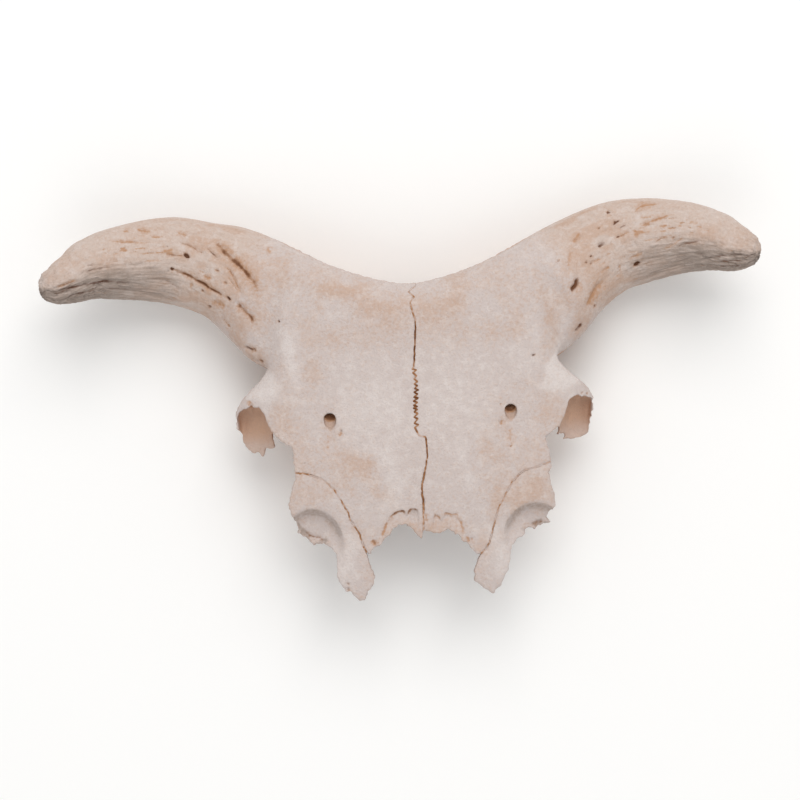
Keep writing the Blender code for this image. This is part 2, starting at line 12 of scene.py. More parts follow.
import bmesh
import bpy
import numpy as np
from bpy.props import FloatProperty, FloatVectorProperty, PointerProperty
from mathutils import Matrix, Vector


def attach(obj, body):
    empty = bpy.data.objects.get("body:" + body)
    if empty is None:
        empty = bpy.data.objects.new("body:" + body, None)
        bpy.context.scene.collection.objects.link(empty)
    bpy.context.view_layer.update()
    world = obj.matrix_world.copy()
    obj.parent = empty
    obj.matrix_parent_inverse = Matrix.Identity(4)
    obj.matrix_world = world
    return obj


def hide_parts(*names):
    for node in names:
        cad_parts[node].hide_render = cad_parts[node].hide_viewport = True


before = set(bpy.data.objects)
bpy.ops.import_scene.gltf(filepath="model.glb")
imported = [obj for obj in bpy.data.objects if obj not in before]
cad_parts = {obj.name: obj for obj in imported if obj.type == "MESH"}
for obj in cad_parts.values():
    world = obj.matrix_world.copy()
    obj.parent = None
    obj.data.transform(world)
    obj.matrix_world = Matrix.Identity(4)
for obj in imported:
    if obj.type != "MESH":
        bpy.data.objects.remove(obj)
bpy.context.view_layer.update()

bl_info = {
    "name": "Horned skull cap",
    "version": (1, 0, 0),
    "blender": (4, 5, 0),
    "location": "3D View > Sidebar > Skull",
    "description": "Builds the dry bones of a young bovine's horned skull cap, with floor and light",
    "category": "Add Mesh",
}

MM = 0.001
SIDES = ("left", "right")
SIGN = {"left": -1.0, "right": 1.0}

# Where the skull's own frame stands, from the middle of the whole (mm)
MIDLINE_X = 4.6
BROW_LINE_Y = -5.0

# Front surface: its highest level, then how fast it curves away to each side and from where (mm)
BROW_Z = 56.0
BROW_SIDE_FALL = 0.0007
NOSE_FALL = 0.0016
NOSE_FALL_START = -20.0
POLL_FALL = 0.003
POLL_FALL_START = 35.0
POLL_ROUNDING = 14.0
POLL_DROP = 9.0
POLL_EDGE_Y = 63.3
POLL_EDGE_SLOPE = {"left": 0.215, "right": 0.177}
POLL_EDGE_CURVE = 0.00364
POLL_EDGE_BLEND = 6.0
ORBIT_FALL = 0.012
ORBIT_FALL_START = 62.0
TEMPLE_FALL = 0.03
TEMPLE_FALL_START = 60.0
TEMPLE_FALL_Y = (10.0, 26.0)

# Plate of the forehead: its reach, which is more at the temples, and its thickness, which is more
# over the braincase and at the nasal notch (mm)
PLATE_REACH_X = 67.0
PLATE_TEMPLE_EXTRA = 8.0
PLATE_TEMPLE_Y = ((14.0, 28.0), (72.0, 50.0))
PLATE_PAST_MIDLINE = 8.0
PLATE_LOW_Y = -98.0
PLATE_GRID = (70, 170)
PLATE_THICKNESS = 4.6
BRAINCASE_EXTRA = 5.0
BRAINCASE_Y = (5.0, 30.0)
NASAL_EXTRA = 2.5
NASAL_Y = (-38.0, -50.0)
NASAL_X = (34.0, 26.0)

# Walls: thickness, how far a wall reaches up into the plate (mm), points across and down it, and the
# step to either side over which the run of its top is measured
SIDE_WALL = 4.2
POLL_WALL = 8.0
WALL_OVERLAP = 1.2
WALL_GRID = (80, 30)
WALL_RUN_STEP = 0.02

# Sutures: gap beside a lacrimal bone, how far the faces of a suture lean sideways at each level, and
# the share of its length over which a sideways move fades out at each end (mm)
LACRIMAL_GAP = 0.1
SUTURE_LEAN = ((-5.0, -1.1), (44.0, -1.1), (57.0, 0.1), (110.0, 0.1))
SUTURE_TAPER = 0.12

# Suture between the frontal bones, poll to nose (mm): straight, then a tight zigzag, then a plain
# crack. A tooth of the zigzag takes a random share of the full reach and shifts along the suture.
SUTURE_TOP = [(2.8, 61.6), (-0.8, 59.3), (2.2, 56.1), (-0.1, 53.6), (0.3, 50.5), (1.9, 44.5),
              (1.4, 36.7), (0.6, 29.0), (0.3, 24.0), (0.0, 21.5)]
SUTURE_ZIGZAG = [(0.1, 20.5), (0.5, 14.0), (0.4, 8.5), (-0.2, 3.0), (0.0, -1.5), (-0.3, -8.5)]
SUTURE_ZIGZAG_TEETH = 13
SUTURE_ZIGZAG_REACH = 1.2
SUTURE_TOOTH_SHARE = (0.55, 1.0)
SUTURE_TOOTH_SHIFT = 0.25
SUTURE_BOTTOM = [(0.8, -12.5), (4.0, -13.5), (4.5, -18.0), (4.5, -23.5), (3.6, -27.5), (2.5, -32.0),
                 (1.4, -36.0), (1.0, -39.0), (1.3, -43.5), (1.5, -47.5), (1.1, -52.0), (1.0, -56.0),
                 (0.7, -60.0)]

# Middle suture from nose to poll (mm): y, open gap, width and level of the soil in it, and how dark
# the soil is, from 0 to 1
SUTURE_FILL = [(-62.0, 0.1, 0.5, 0.03, 0.3), (-53.0, 0.2, 0.9, 0.0, 0.42), (-46.0, 0.5, 0.9, -0.15, 0.75),
               (-15.5, 0.5, 1.0, -0.15, 0.8), (-13.8, 0.1, 0.8, 0.04, 0.8), (-13.2, 0.1, 0.6, 0.04, 0.2),
               (-11.8, 0.1, 0.6, 0.04, 0.2), (-10.5, 0.1, 0.8, 0.04, 0.65), (-1.0, 0.1, 0.8, 0.04, 0.7),
               (1.0, 0.1, 0.85, 0.04, 1.0), (12.0, 0.1, 0.85, 0.04, 1.0), (14.5, 0.1, 0.75, 0.04, 0.5),
               (23.0, 0.1, 0.75, 0.04, 0.55), (26.0, 0.4, 0.85, -0.1, 1.0), (41.5, 0.4, 0.85, -0.1, 1.0),
               (43.0, 0.2, 0.75, 0.0, 0.7), (45.0, 0.1, 0.6, 0.03, 0.42),
               (52.0, 0.05, 0.6, 0.03, 0.45), (62.0, 0.05, 0.55, 0.03, 0.3)]

# Lacrimal sutures: width, level and darkness of their soil, and the length and share of its dots
LACRIMAL_FILL = {"left": (0.65, 0.0, 0.52), "right": (0.6, 0.0, 0.42)}
SOIL_DOT_LENGTH = 1.6
SOIL_DOT_NARROWING = 0.2
SOIL_DOT_SHARE = 0.65

# Every ribbon of soil: depth, steps along it, crown, and how much its width and darkness vary (mm)
SOIL_DEPTH = 1.5
SOIL_STEP = 0.25
SOIL_CROWN = 0.02
SOIL_WIDTH_LUMPS = 0.9
SOIL_WIDTH_CHANGE = 0.35
SOIL_BEAD_LUMPS = 1.1
SOIL_BEAD_CHANGE = 0.5
SOIL_SLANT_WIDTH = 0.2
SOIL_SLANT_DARKNESS = 0.15

# Horn axis, root to tip (mm): x outwards, y, z, half the width in the front view and half the depth
HORN_AXIS = {
    "left": [(54.5, 46.4, 40.5, 28.7, 11.0), (62.8, 53.0, 33.0, 30.5, 18.5),
             (72.5, 60.7, 26.8, 28.75, 25.5), (89.0, 72.4, 22.6, 25.4, 23.0),
             (105.5, 78.5, 20.3, 22.7, 20.8), (121.0, 82.2, 22.5, 21.9, 19.6),
             (143.0, 81.7, 31.0, 18.8, 17.2), (158.5, 78.9, 38.0, 16.0, 14.8),
             (168.6, 74.2, 43.0, 12.6, 12.4), (176.5, 71.4, 46.5, 10.4, 9.2),
             (182.8, 71.0, 48.5, 6.8, 5.2)],
    "right": [(51.3, 43.6, 40.5, 28.4, 11.0), (58.9, 50.0, 33.0, 29.6, 18.5),
              (67.9, 56.1, 26.8, 29.0, 25.5), (84.1, 68.0, 22.4, 25.3, 22.8),
              (101.4, 77.0, 20.3, 23.0, 20.8), (117.0, 80.1, 22.5, 21.7, 19.4),
              (138.5, 80.4, 31.0, 18.2, 16.4), (152.9, 77.3, 38.0, 15.4, 14.2),
              (162.6, 73.4, 43.0, 12.5, 11.8), (168.8, 71.9, 46.0, 10.2, 9.0),
              (173.9, 71.3, 47.5, 6.8, 5.2)],
}
HORN_RINGS = 110
HORN_AROUND = 96
HORN_ROOT_REACH = 8.0
HORN_RUN_STEP = 0.01

# Blunt tip: rings past the last one, each with how far ahead it is and its share of that one's width
TIP_ROUNDING = ((0.8, 0.9), (1.5, 0.68), (2.0, 0.38))
TIP_REACH = 2.2

# Smoothing of the whole rough body, then of the joint of horn core and forehead: along the horn from
# 0 to 1, on faces that look forwards, above the least share of both, with a few levels of weight
BODY_ROUNDS = 10
JOINT_ALONG = ((0.0, 0.06), (0.42, 0.3))
JOINT_FACING = (0.45, 0.8)
JOINT_LEAST = 0.05
JOINT_LEVELS = 4
JOINT_ROUNDS = 60

# Wall under the side of the forehead, poll to nose: where its top and its free lower edge run
SIDE_WALL_TOP = [(70.0, 46.0, 44.0), (70.0, 30.0, 46.0), (68.0, 18.0, 47.0), (64.5, 6.0, 48.0),
                 (60.5, -6.0, 48.0), (58.5, -18.0, 48.0), (58.0, -30.0, 47.0), (56.5, -43.0, 44.0),
                 (49.0, -54.0, 40.0), (42.0, -62.0, 41.0)]
SIDE_WALL_FOOT = [(58.0, 46.0, 6.0), (55.0, 30.0, 12.0), (52.0, 18.0, 15.0), (49.0, 6.0, 10.0),
                  (47.5, -6.0, 3.0), (46.5, -18.0, -3.0), (46.0, -30.0, 1.0), (46.5, -42.0, 15.0),
                  (44.0, -53.0, 26.0), (41.0, -62.0, 34.0)]

# Wall turned down behind the poll, midline to horn root
POLL_WALL_TOP = [(-8.0, 57.0, 46.0), (0.0, 57.0, 46.0), (18.0, 61.0, 45.0), (34.0, 66.5, 43.0),
                 (48.0, 72.5, 40.0), (60.0, 76.0, 36.0)]
POLL_WALL_FOOT = [(-8.0, 52.0, 15.0), (0.0, 52.0, 16.0), (18.0, 55.0, 11.0), (34.0, 59.0, 6.0),
                  (48.0, 62.0, 3.0), (60.0, 64.0, 2.0)]

# Ridge across the inside, between braincase and nose, and the crest along the midline
CROSS_RIDGE_TOP = [(-8.0, -8.0, 50.0), (18.0, -9.0, 50.0), (36.0, -7.0, 49.0), (54.0, -2.0, 46.0)]
CROSS_RIDGE_FOOT = [(-8.0, -10.0, 38.0), (18.0, -12.0, 37.0), (36.0, -9.0, 33.0), (52.0, -2.0, 24.0)]
CREST_TOP = [(0.0, -10.0, 50.0), (0.5, 20.0, 46.0), (0.0, 54.0, 46.0)]
CREST_FOOT = [(0.0, -10.0, 39.0), (0.5, 20.0, 42.0), (0.0, 54.0, 34.0)]
RIDGE_THICKNESS = 7.0

# Process behind the orbit: its temporal border and, across from it, the border towards the nose
PROCESS_OUTER = {
    "left": [(66.0, 34.0), (72.0, 25.0), (77.2, 18.7), (83.2, 12.7), (87.8, 7.9), (90.8, 2.0),
             (91.2, -8.0), (91.2, -24.0)],
    "right": [(66.0, 32.5), (72.0, 22.0), (77.4, 15.5), (83.6, 10.2), (87.2, 6.2), (89.4, 1.5),
              (89.6, -8.0), (89.6, -24.0)],
}
PROCESS_INNER = [(56.0, 22.0), (58.0, 10.0), (60.0, 0.0), (62.0, -8.0), (64.0, -16.0), (68.0, -22.0),
                 (74.0, -27.0), (84.0, -28.0)]
PROCESS_THICKNESS = 5.0
PROCESS_DEEP_Y = (16.0, 5.0)
PROCESS_GRID = (30, 50)

# Concave orbital face of that process, as the mouth of the hollow seen from the front
CUP_MOUTH = {
    "left": [(89.3, 2.0), (88.0, 3.5), (87.0, 4.0), (86.3, 4.7), (85.0, 4.5), (83.8, 5.2), (83.0, 5.6),
             (82.4, 9.2), (81.8, 6.6), (80.7, 5.0), (79.9, 5.8), (79.2, 4.7), (78.5, 5.7), (77.4, 4.3),
             (76.6, 2.7), (75.9, 2.5), (75.2, 0.7), (74.8, -1.5), (73.7, -4.0), (72.6, -6.5),
             (71.7, -9.0), (70.6, -14.0), (70.0, -32.0), (88.6, -32.0), (89.2, -5.0), (89.7, -0.8)],
    "right": [(88.6, 0.6), (87.4, 2.1), (86.4, 1.8), (85.6, 2.9), (84.9, 2.6), (84.4, 3.6), (83.4, 2.3),
              (82.4, 2.7), (81.7, 3.2), (81.1, 5.0), (80.4, 3.4), (79.2, 3.0), (77.5, 2.1), (76.2, 1.0),
              (75.3, -2.0), (73.9, -5.9), (71.5, -10.3), (70.2, -14.0), (69.5, -32.0), (87.2, -32.0),
              (87.5, -8.0), (88.2, -3.5)],
}

# That hollow (mm): how much deeper it makes the process, then its levels: depth, share of the mouth's
# width, and how far its border moves down, except below CUP_OPEN_Y, past the end of the bone. Under
# its rim it gets shallower between two levels of y, to a share of its depth.
CUP_DEPTH = 13.0
CUP_LEVELS = ((-25.0, 1.0, 0.0), (1.5, 1.0, 0.0), (4.0, 1.0, -1.0), (9.0, 0.97, -0.6), (13.0, 0.88, 0.5),
              (15.0, 0.64, 2.5))
CUP_OPEN_Y = -30.0
CUP_RIM = 2.0
CUP_SHALLOW = (6.0, -16.0, 0.65)

# Suture of the lacrimal bone, from the orbit's rim down to the nasal notch, and the direction in
# which a sideways move takes it (mm)
LACRIMAL_SUTURE = {
    "left": [(61.7, -28.0), (57.0, -29.0), (49.5, -31.5), (46.5, -33.5), (42.5, -38.0),
             (40.5, -41.5), (36.5, -49.0), (35.5, -53.0), (31.5, -60.0), (29.5, -67.0),
             (28.0, -69.8)],
    "right": [(65.6, -28.7), (58.0, -31.0), (53.0, -32.0), (49.5, -34.0), (45.5, -38.0),
              (43.0, -42.5), (40.5, -47.0), (38.0, -51.0), (36.5, -56.0), (34.5, -62.5),
              (33.0, -67.5), (31.0, -70.5), (28.5, -73.2)],
}
LACRIMAL_SUTURE_SIDEWAYS = (-0.6, 1.0)

# Broken edge of each frontal bone: nasal notch, orbit's rim, then the ragged end of the process
NASAL_EDGE = {
    "left": [(0.2, -64.5), (1.5, -63.0), (3.0, -61.0), (5.0, -59.0), (7.5, -56.5), (11.0, -56.5),
             (13.5, -58.0), (15.5, -60.5), (19.5, -64.0), (21.0, -66.5), (24.5, -67.5), (26.5, -71.0)],
    "right": [(1.4, -60.0), (4.0, -60.5), (5.5, -61.5), (8.5, -62.0), (11.0, -61.0), (13.5, -59.5),
              (16.0, -62.0), (18.5, -64.0), (20.5, -67.0), (22.0, -67.0), (25.0, -71.5), (26.8, -73.5)],
}
ORBIT_EDGE = {
    "left": [(62.0, -27.0), (62.0, -15.2), (65.1, -14.4), (67.8, -12.3), (70.5, -9.4), (71.3, -7.6),
             (72.0, -6.0), (72.7, -8.2), (72.3, -11.8), (72.1, -13.3), (71.6, -15.1), (72.9, -15.8),
             (76.1, -15.2), (76.8, -17.1), (77.8, -19.8), (79.0, -19.1), (79.9, -18.1), (81.3, -17.4),
             (83.0, -18.0), (84.9, -16.2), (86.9, -14.5), (87.8, -11.3), (88.1, -7.5), (90.0, -5.4),
             (90.3, -0.3), (90.6, 1.9), (92.0, 4.0)],
    "right": [(65.4, -23.5), (63.3, -16.3), (65.9, -15.2), (67.5, -13.4), (69.6, -11.7), (71.6, -11.6),
              (70.0, -15.8), (73.4, -15.2), (75.2, -14.0), (74.3, -16.8), (73.2, -18.7), (75.4, -18.1),
              (76.9, -18.7), (79.4, -18.3), (82.1, -17.8), (83.7, -16.8), (85.2, -16.6), (86.5, -15.8),
              (87.0, -11.7), (87.9, -7.2), (89.0, -3.0), (89.1, 1.0), (91.0, 4.0)],
}

# Past the process the outline runs clear of the horn core, up to a level beyond the poll
CLEAR_Y = 130.0
HORN_CLEARANCE = [(95.0, 11.0), (101.0, 25.0), (205.0, 25.0), (205.0, CLEAR_Y)]

# Free edge of each lacrimal bone, from the orbit's rim round the prong to the nasal notch
LACRIMAL_EDGE = {
    "left": [(61.5, -31.5), (64.0, -38.0), (66.0, -44.0), (64.5, -49.0), (62.5, -52.5),
             (61.5, -56.0), (62.0, -58.5), (58.0, -61.0), (54.5, -65.0), (52.5, -64.0),
             (47.5, -64.5), (43.5, -69.5), (43.0, -75.5), (43.5, -80.5), (42.5, -83.5),
             (39.0, -89.0), (37.0, -88.5), (33.0, -94.0), (30.0, -93.5), (29.0, -89.0),
             (27.5, -88.5), (26.0, -86.0), (24.5, -82.0), (26.5, -77.0)],
    "right": [(66.0, -32.0), (64.0, -33.5), (65.0, -38.5), (66.5, -44.0), (68.0, -46.5),
              (67.0, -50.5), (63.5, -54.5), (62.5, -56.5), (65.0, -59.5), (61.5, -60.0),
              (58.0, -61.0), (56.5, -62.5), (53.5, -61.0), (51.5, -61.5), (51.0, -65.0),
              (48.5, -66.0), (45.0, -69.5), (43.5, -74.0), (43.0, -77.5), (41.5, -82.5),
              (37.5, -90.0), (35.5, -91.0), (34.0, -93.5), (32.0, -91.5), (29.5, -90.5),
              (25.0, -86.0), (25.5, -80.5), (27.0, -76.0)],
}

# Where the outer layer of bone ends in scallops above a thinner ledge at the nasal notch
TABLE_SCALLOPS = {
    "left": [(20.0, -61.5), (18.7, -59.0), (17.3, -55.1), (15.6, -52.9), (12.9, -50.9), (11.0, -50.1),
             (9.4, -49.8), (8.2, -50.3), (7.3, -51.8), (6.2, -50.5), (4.8, -49.2), (3.3, -48.9),
             (1.9, -49.3), (1.4, -50.6), (1.3, -64.0)],
    "right": [(23.0, -67.0), (21.5, -65.0), (20.2, -59.5), (19.4, -56.3), (17.3, -52.9), (15.1, -53.2),
              (14.1, -52.7), (12.0, -52.0), (11.0, -53.4), (9.9, -55.6), (9.1, -54.2), (8.1, -53.2),
              (6.8, -53.0), (5.6, -54.5), (5.0, -64.0)],
}

# That ledge: its step below a spot of the surface, the cutter's end below the notch, and where along x
# the shaded arcs start and where a bridge breaks them (mm)
TABLE_STEP = 0.7
TABLE_SPOT = (10.0, -56.0)
TABLE_CUT = ((0.0, -90.0), (5.0, -90.0), (1.0, -72.0))
TABLE_CUT_TOP = 90.0
TABLE_START = {"left": 1.8, "right": 5.9}
TABLE_BRIDGE = {"left": 7.3, "right": 10.2}

# Where the marks of those arcs start and are full: out from an arc, along y, below the front surface,
# from the inner end of the arcs and from their bridge, and where their darkest soil and painted shadow lie
# (mm)
ARC_REACH = (1.2, 0.3)
ARC_FROM_Y = (-66.0, -62.0)
ARC_BELOW = (3.0, 2.4)
ARC_START_FADE = (-0.4, 0.8)
ARC_BRIDGE_FADE = (0.3, 1.6)
ARC_DARK_Y = (-54.0, -51.0)

# Purplish spot at the left half of the nasal notch (mm): its centre, where it starts and is full round
# that and below the front surface, and how much a distance along y counts in it
PURPLE_SPOT = (3.6, -50.5)
PURPLE_REACH = (5.0, 0.5)
PURPLE_BELOW = (0.4, 1.2)
PURPLE_Y_WEIGHT = 0.7

# Shaded hollow of each lacrimal bone: centre and half sizes, depth, and from its border at 1 where
# its lip is down. The floor starts, is full and holds a share of the depth. Along y it runs out.
LACRIMAL_HOLLOW = {"left": (54.5, -65.0, 16.0, 19.0), "right": (56.5, -66.0, 16.7, 17.8)}
LACRIMAL_HOLLOW_DEPTH = 9.0
LACRIMAL_HOLLOW_LIP = 0.76
LACRIMAL_HOLLOW_FLOOR = (0.85, 0.2, 0.3)
LACRIMAL_HOLLOW_END = (-90.0, -50.0)

# Marks of that hollow, from its centre at 0 to its border at 1: the outer and inner side of the painted
# shade under its arch and where along y it starts, the paler floor, and the tan that fades towards the
# centre
ARCH_OUTER = (1.0, 0.95)
ARCH_INNER = (0.66, 0.88)
ARCH_FROM_Y = (-66.0, -58.0)
HOLLOW_PALER = (0.85, 0.6)
HOLLOW_TAN = (0.2, 0.95)

# Lacrimal bones: the top of their plate, and the point of the side wall from which they carry it
LACRIMAL_TOP_Y = -20.0
LACRIMAL_WALL_START = 5

# Brow holes: centres, radius, how fast the canal leans towards the poll, depth of the tapering mouth,
# its extra length and how it narrows, the levels of the cutter and how deep the soil reaches (mm)
BROW_HOLES = {"left": (43.0, -2.5), "right": (47.0, -2.3)}
BROW_HOLE_RADIUS = 3.0
BROW_HOLE_LEAN = 3.0
BROW_HOLE_MOUTH = 2.4
BROW_HOLE_TAIL = 1.3
BROW_HOLE_NARROWING = 0.8
BROW_HOLE_LEVELS = (-3.0, BROW_HOLE_MOUTH, 12.0)
BROW_HOLE_BOTTOM = 8.0

# Shallow groove below each brow hole (mm): its depth and half width, how far below the hole it is
# full, starts to fade and ends, and the half width of its shaded throat at each drop
BROW_GROOVE_DEPTH = 1.5
BROW_GROOVE_WIDTH = 2.4
BROW_GROOVE_START = 4.0
BROW_GROOVE_FADE = 8.0
BROW_GROOVE_LENGTH = 20.0
BROW_THROAT = ((1.5, 3.0, 4.7, 6.2), (3.0, 2.4, 1.1, 0.2))

# Where the shade and the soil in a brow hole start and are full: below the front surface, out from
# the hole's centre, along its throat and in shares of the throat's half width (mm)
HOLE_SHADE_BELOW = (0.2, 1.3)
HOLE_SHADE_REACH = (8.0, 5.0)
HOLE_SOIL_BELOW = (2.3, 3.0)
HOLE_SOIL_REACH = (14.0, 9.0)
HOLE_SOIL_SHIFT = 4.0
HOLE_DARK_BELOW = (2.6, 3.4)
THROAT_FROM = (0.0, 1.5)
THROAT_UNTIL = (6.8, 4.8)
THROAT_SIDES = (1.15, 0.75)

# Grooves that blood vessels left: points in the front view, width and depth (mm), then how dark and
# how rusty its soil is, from 0 to 1
GROOVES = {
    "left": [
        ([(97.5, 91.5), (90.0, 82.5), (82.5, 74.5), (77.0, 66.5), (74.5, 59.5)], 2.0, 1.3, 0.75, 1.0),
        ([(118.5, 76.5), (112.0, 73.5), (103.5, 68.5), (97.0, 64.0), (91.0, 60.0)], 1.3, 1.1, 0.8, 0.9),
        ([(87.5, 58.5), (83.5, 54.0), (79.5, 49.5), (81.0, 46.0)], 1.4, 1.2, 0.75, 1.0),
        ([(116.0, 91.0), (111.0, 89.0), (106.0, 86.0), (101.0, 83.0)], 0.9, 0.7, 0.6, 0.6),
        ([(101.0, 87.5), (97.5, 83.0), (95.0, 81.0)], 0.9, 0.7, 0.7, 0.5),
        ([(94.5, 78.5), (89.5, 74.0), (86.5, 67.5), (83.5, 60.5)], 1.0, 0.7, 0.45, 0.7),
        ([(92.0, 72.5), (88.0, 67.0), (85.0, 62.5)], 0.9, 0.6, 0.4, 0.6),
        ([(116.0, 96.0), (110.0, 94.0)], 0.9, 0.5, 0.25, 0.9),
        ([(122.5, 84.0), (116.5, 83.5), (111.0, 83.0)], 1.0, 0.8, 0.55, 0.6),
        ([(121.5, 88.5), (119.5, 88.0)], 0.9, 0.5, 0.6, 0.4),
        ([(136.0, 97.5), (128.0, 95.5)], 1.1, 0.4, 0.1, 0.9),
        ([(142.0, 97.0), (138.5, 97.0)], 0.8, 0.4, 0.1, 0.8),
        ([(150.5, 92.0), (137.0, 91.0), (125.0, 90.0)], 0.9, 0.3, 0.05, 0.7),
        ([(162.5, 76.5), (156.5, 77.5), (150.5, 78.5), (144.5, 77.5)], 0.9, 0.8, 0.65, 0.2),
        ([(161.0, 80.0), (155.0, 79.5)], 0.8, 0.6, 0.55, 0.2),
        ([(176.0, 69.0), (170.0, 71.0), (164.5, 74.0)], 1.0, 0.7, 0.3, 0.7),
        ([(178.0, 65.0), (164.0, 69.5), (151.0, 71.0), (134.5, 70.0)], 1.3, 1.2, 0.8, 0.1),
        ([(173.0, 63.0), (161.5, 66.5), (148.5, 67.5), (134.0, 66.0)], 1.1, 0.9, 0.55, 0.2),
        ([(84.5, 36.5), (79.5, 33.0)], 1.2, 1.0, 0.8, 0.3),
        ([(81.5, 30.5), (76.5, 26.5)], 1.1, 0.8, 0.6, 0.4),
        ([(95.0, 52.0), (89.5, 44.5)], 0.9, 0.5, 0.4, 0.6),
        ([(124.0, 72.0), (118.5, 68.5), (115.0, 65.0)], 0.9, 0.6, 0.4, 0.3),
        ([(103.5, 73.0), (98.5, 70.5)], 1.2, 0.4, 0.3, 0.8),
        ([(100.5, 60.0), (91.5, 55.5)], 1.5, 0.4, 0.15, 0.8),
        ([(70.0, 86.5), (69.0, 80.5)], 1.4, 0.2, 0.1, 0.6),
        ([(44.2, -9.5), (44.6, -13.0), (44.8, -16.3)], 0.8, 0.2, 0.1, 0.6),
        ([(37.5, -8.7), (38.7, -11.3)], 1.0, 0.5, 0.2, 0.8),
        ([(24.9, -63.0), (23.2, -66.7)], 1.4, 0.8, 0.5, 1.0),
        ([(83.6, 5.6), (82.5, 9.0)], 1.6, 0.2, 0.1, 1.0),
        ([(59.5, -57.8), (56.5, -59.8), (53.2, -60.7), (51.0, -61.3), (49.2, -63.8)], 1.2, 1.0, 0.6, 0.6),
    ],
    "right": [
        ([(84.5, 62.0), (83.0, 58.0), (80.5, 54.5)], 2.0, 2.2, 1.0, 0.9),
        ([(98.5, 61.0), (94.5, 57.0), (90.5, 51.0), (87.5, 46.5)], 1.5, 0.9, 0.2, 1.0),
        ([(86.0, 39.5), (83.5, 36.5), (82.0, 34.5)], 1.4, 1.3, 0.9, 0.4),
        ([(86.5, 85.5), (84.0, 82.0), (82.5, 79.0)], 1.2, 0.6, 0.3, 0.9),
        ([(83.0, 77.5), (80.5, 71.5), (79.5, 65.0)], 1.1, 0.4, 0.2, 0.6),
        ([(103.0, 88.5), (107.0, 90.5)], 1.0, 0.9, 0.9, 0.3),
        ([(100.5, 94.5), (103.0, 95.0)], 0.9, 0.8, 0.8, 0.3),
        ([(106.0, 86.0), (110.5, 87.5)], 0.9, 0.7, 0.7, 0.3),
        ([(95.5, 77.5), (99.5, 79.5)], 1.5, 1.7, 1.0, 0.5),
        ([(91.0, 69.0), (97.5, 71.0)], 0.9, 0.5, 0.25, 0.8),
        ([(105.5, 81.5), (112.5, 85.0)], 0.9, 0.6, 0.45, 0.7),
        ([(115.0, 87.0), (119.5, 87.5), (125.0, 89.5), (135.0, 92.0)], 1.0, 0.6, 0.3, 0.9),
        ([(114.0, 93.5), (117.0, 96.0), (121.5, 97.5), (128.0, 97.5)], 1.3, 0.5, 0.2, 0.9),
        ([(122.5, 77.5), (127.5, 80.0), (132.5, 79.5)], 0.9, 0.6, 0.45, 0.6),
        ([(126.0, 75.0), (131.0, 75.5), (139.5, 81.5)], 0.9, 0.5, 0.25, 0.7),
        ([(109.0, 69.5), (114.5, 72.0), (118.0, 74.0)], 1.3, 0.4, 0.2, 0.7),
        ([(132.0, 74.5), (137.5, 76.0), (143.5, 77.0), (149.0, 77.0)], 0.9, 0.7, 0.55, 0.4),
        ([(148.5, 68.5), (160.0, 69.0), (168.0, 69.0)], 1.1, 1.0, 0.6, 0.3),
        ([(152.5, 66.0), (162.5, 66.0), (170.5, 65.0)], 1.0, 0.9, 0.6, 0.3),
        ([(148.5, 64.0), (160.0, 63.0), (170.0, 62.5)], 1.0, 0.9, 0.5, 0.3),
        ([(41.9, -6.8), (41.3, -9.8)], 1.2, 0.8, 0.5, 0.9),
        ([(46.8, -9.5), (46.4, -14.0), (46.1, -20.0)], 0.8, 0.2, 0.1, 0.6),
        ([(61.5, -58.5), (58.0, -59.3), (54.0, -60.0)], 1.2, 0.8, 0.5, 0.5),
        ([(1.9, -50.5), (2.6, -54.0), (3.5, -57.0)], 0.8, 0.2, 0.15, 0.8),
        ([(21.6, -63.0), (22.6, -66.0), (24.0, -67.6)], 0.8, 0.3, 0.2, 0.9),
    ],
}

# How far around a groove its marks can reach (mm), and the number of points on its curve
GROOVE_MARGIN = 4.0
GROOVE_STEPS = 14

# Places along a groove, from 0 to 1, where its first and its last end start and are full
GROOVE_FIRST_END = (-0.02, 0.25)
GROOVE_LAST_END = (1.02, 0.7)

# Cross section of a groove in shares of its width: the cut itself, its slopes and its rusty halo,
# then how much of its depth the slopes take up
GROOVE_CUT = 0.68
GROOVE_SLOPE = 1.5
GROOVE_HALO = 2.4
GROOVE_SLOPE_SHARE = 0.3

# What makes grooves wander: distance, size of its lumps and the noise's seeds for x and y (mm)
GROOVE_WANDER = ((0.5, 5.0, 31, 32), (0.2, 1.3, 35, 36))

# Pits are drawn out along the horns' run: its direction in the front view, and how far they stretch.
# In shares of a pit's radius: where its hollow and its rusty rim start and are full, and how uneven
PIT_RUN = (0.8, 0.6)
PIT_STRETCH = 1.25
PIT_EDGE = (1.4, 0.5)
PIT_RIM = (2.2, 0.8)
PIT_UNEVENNESS = 0.7

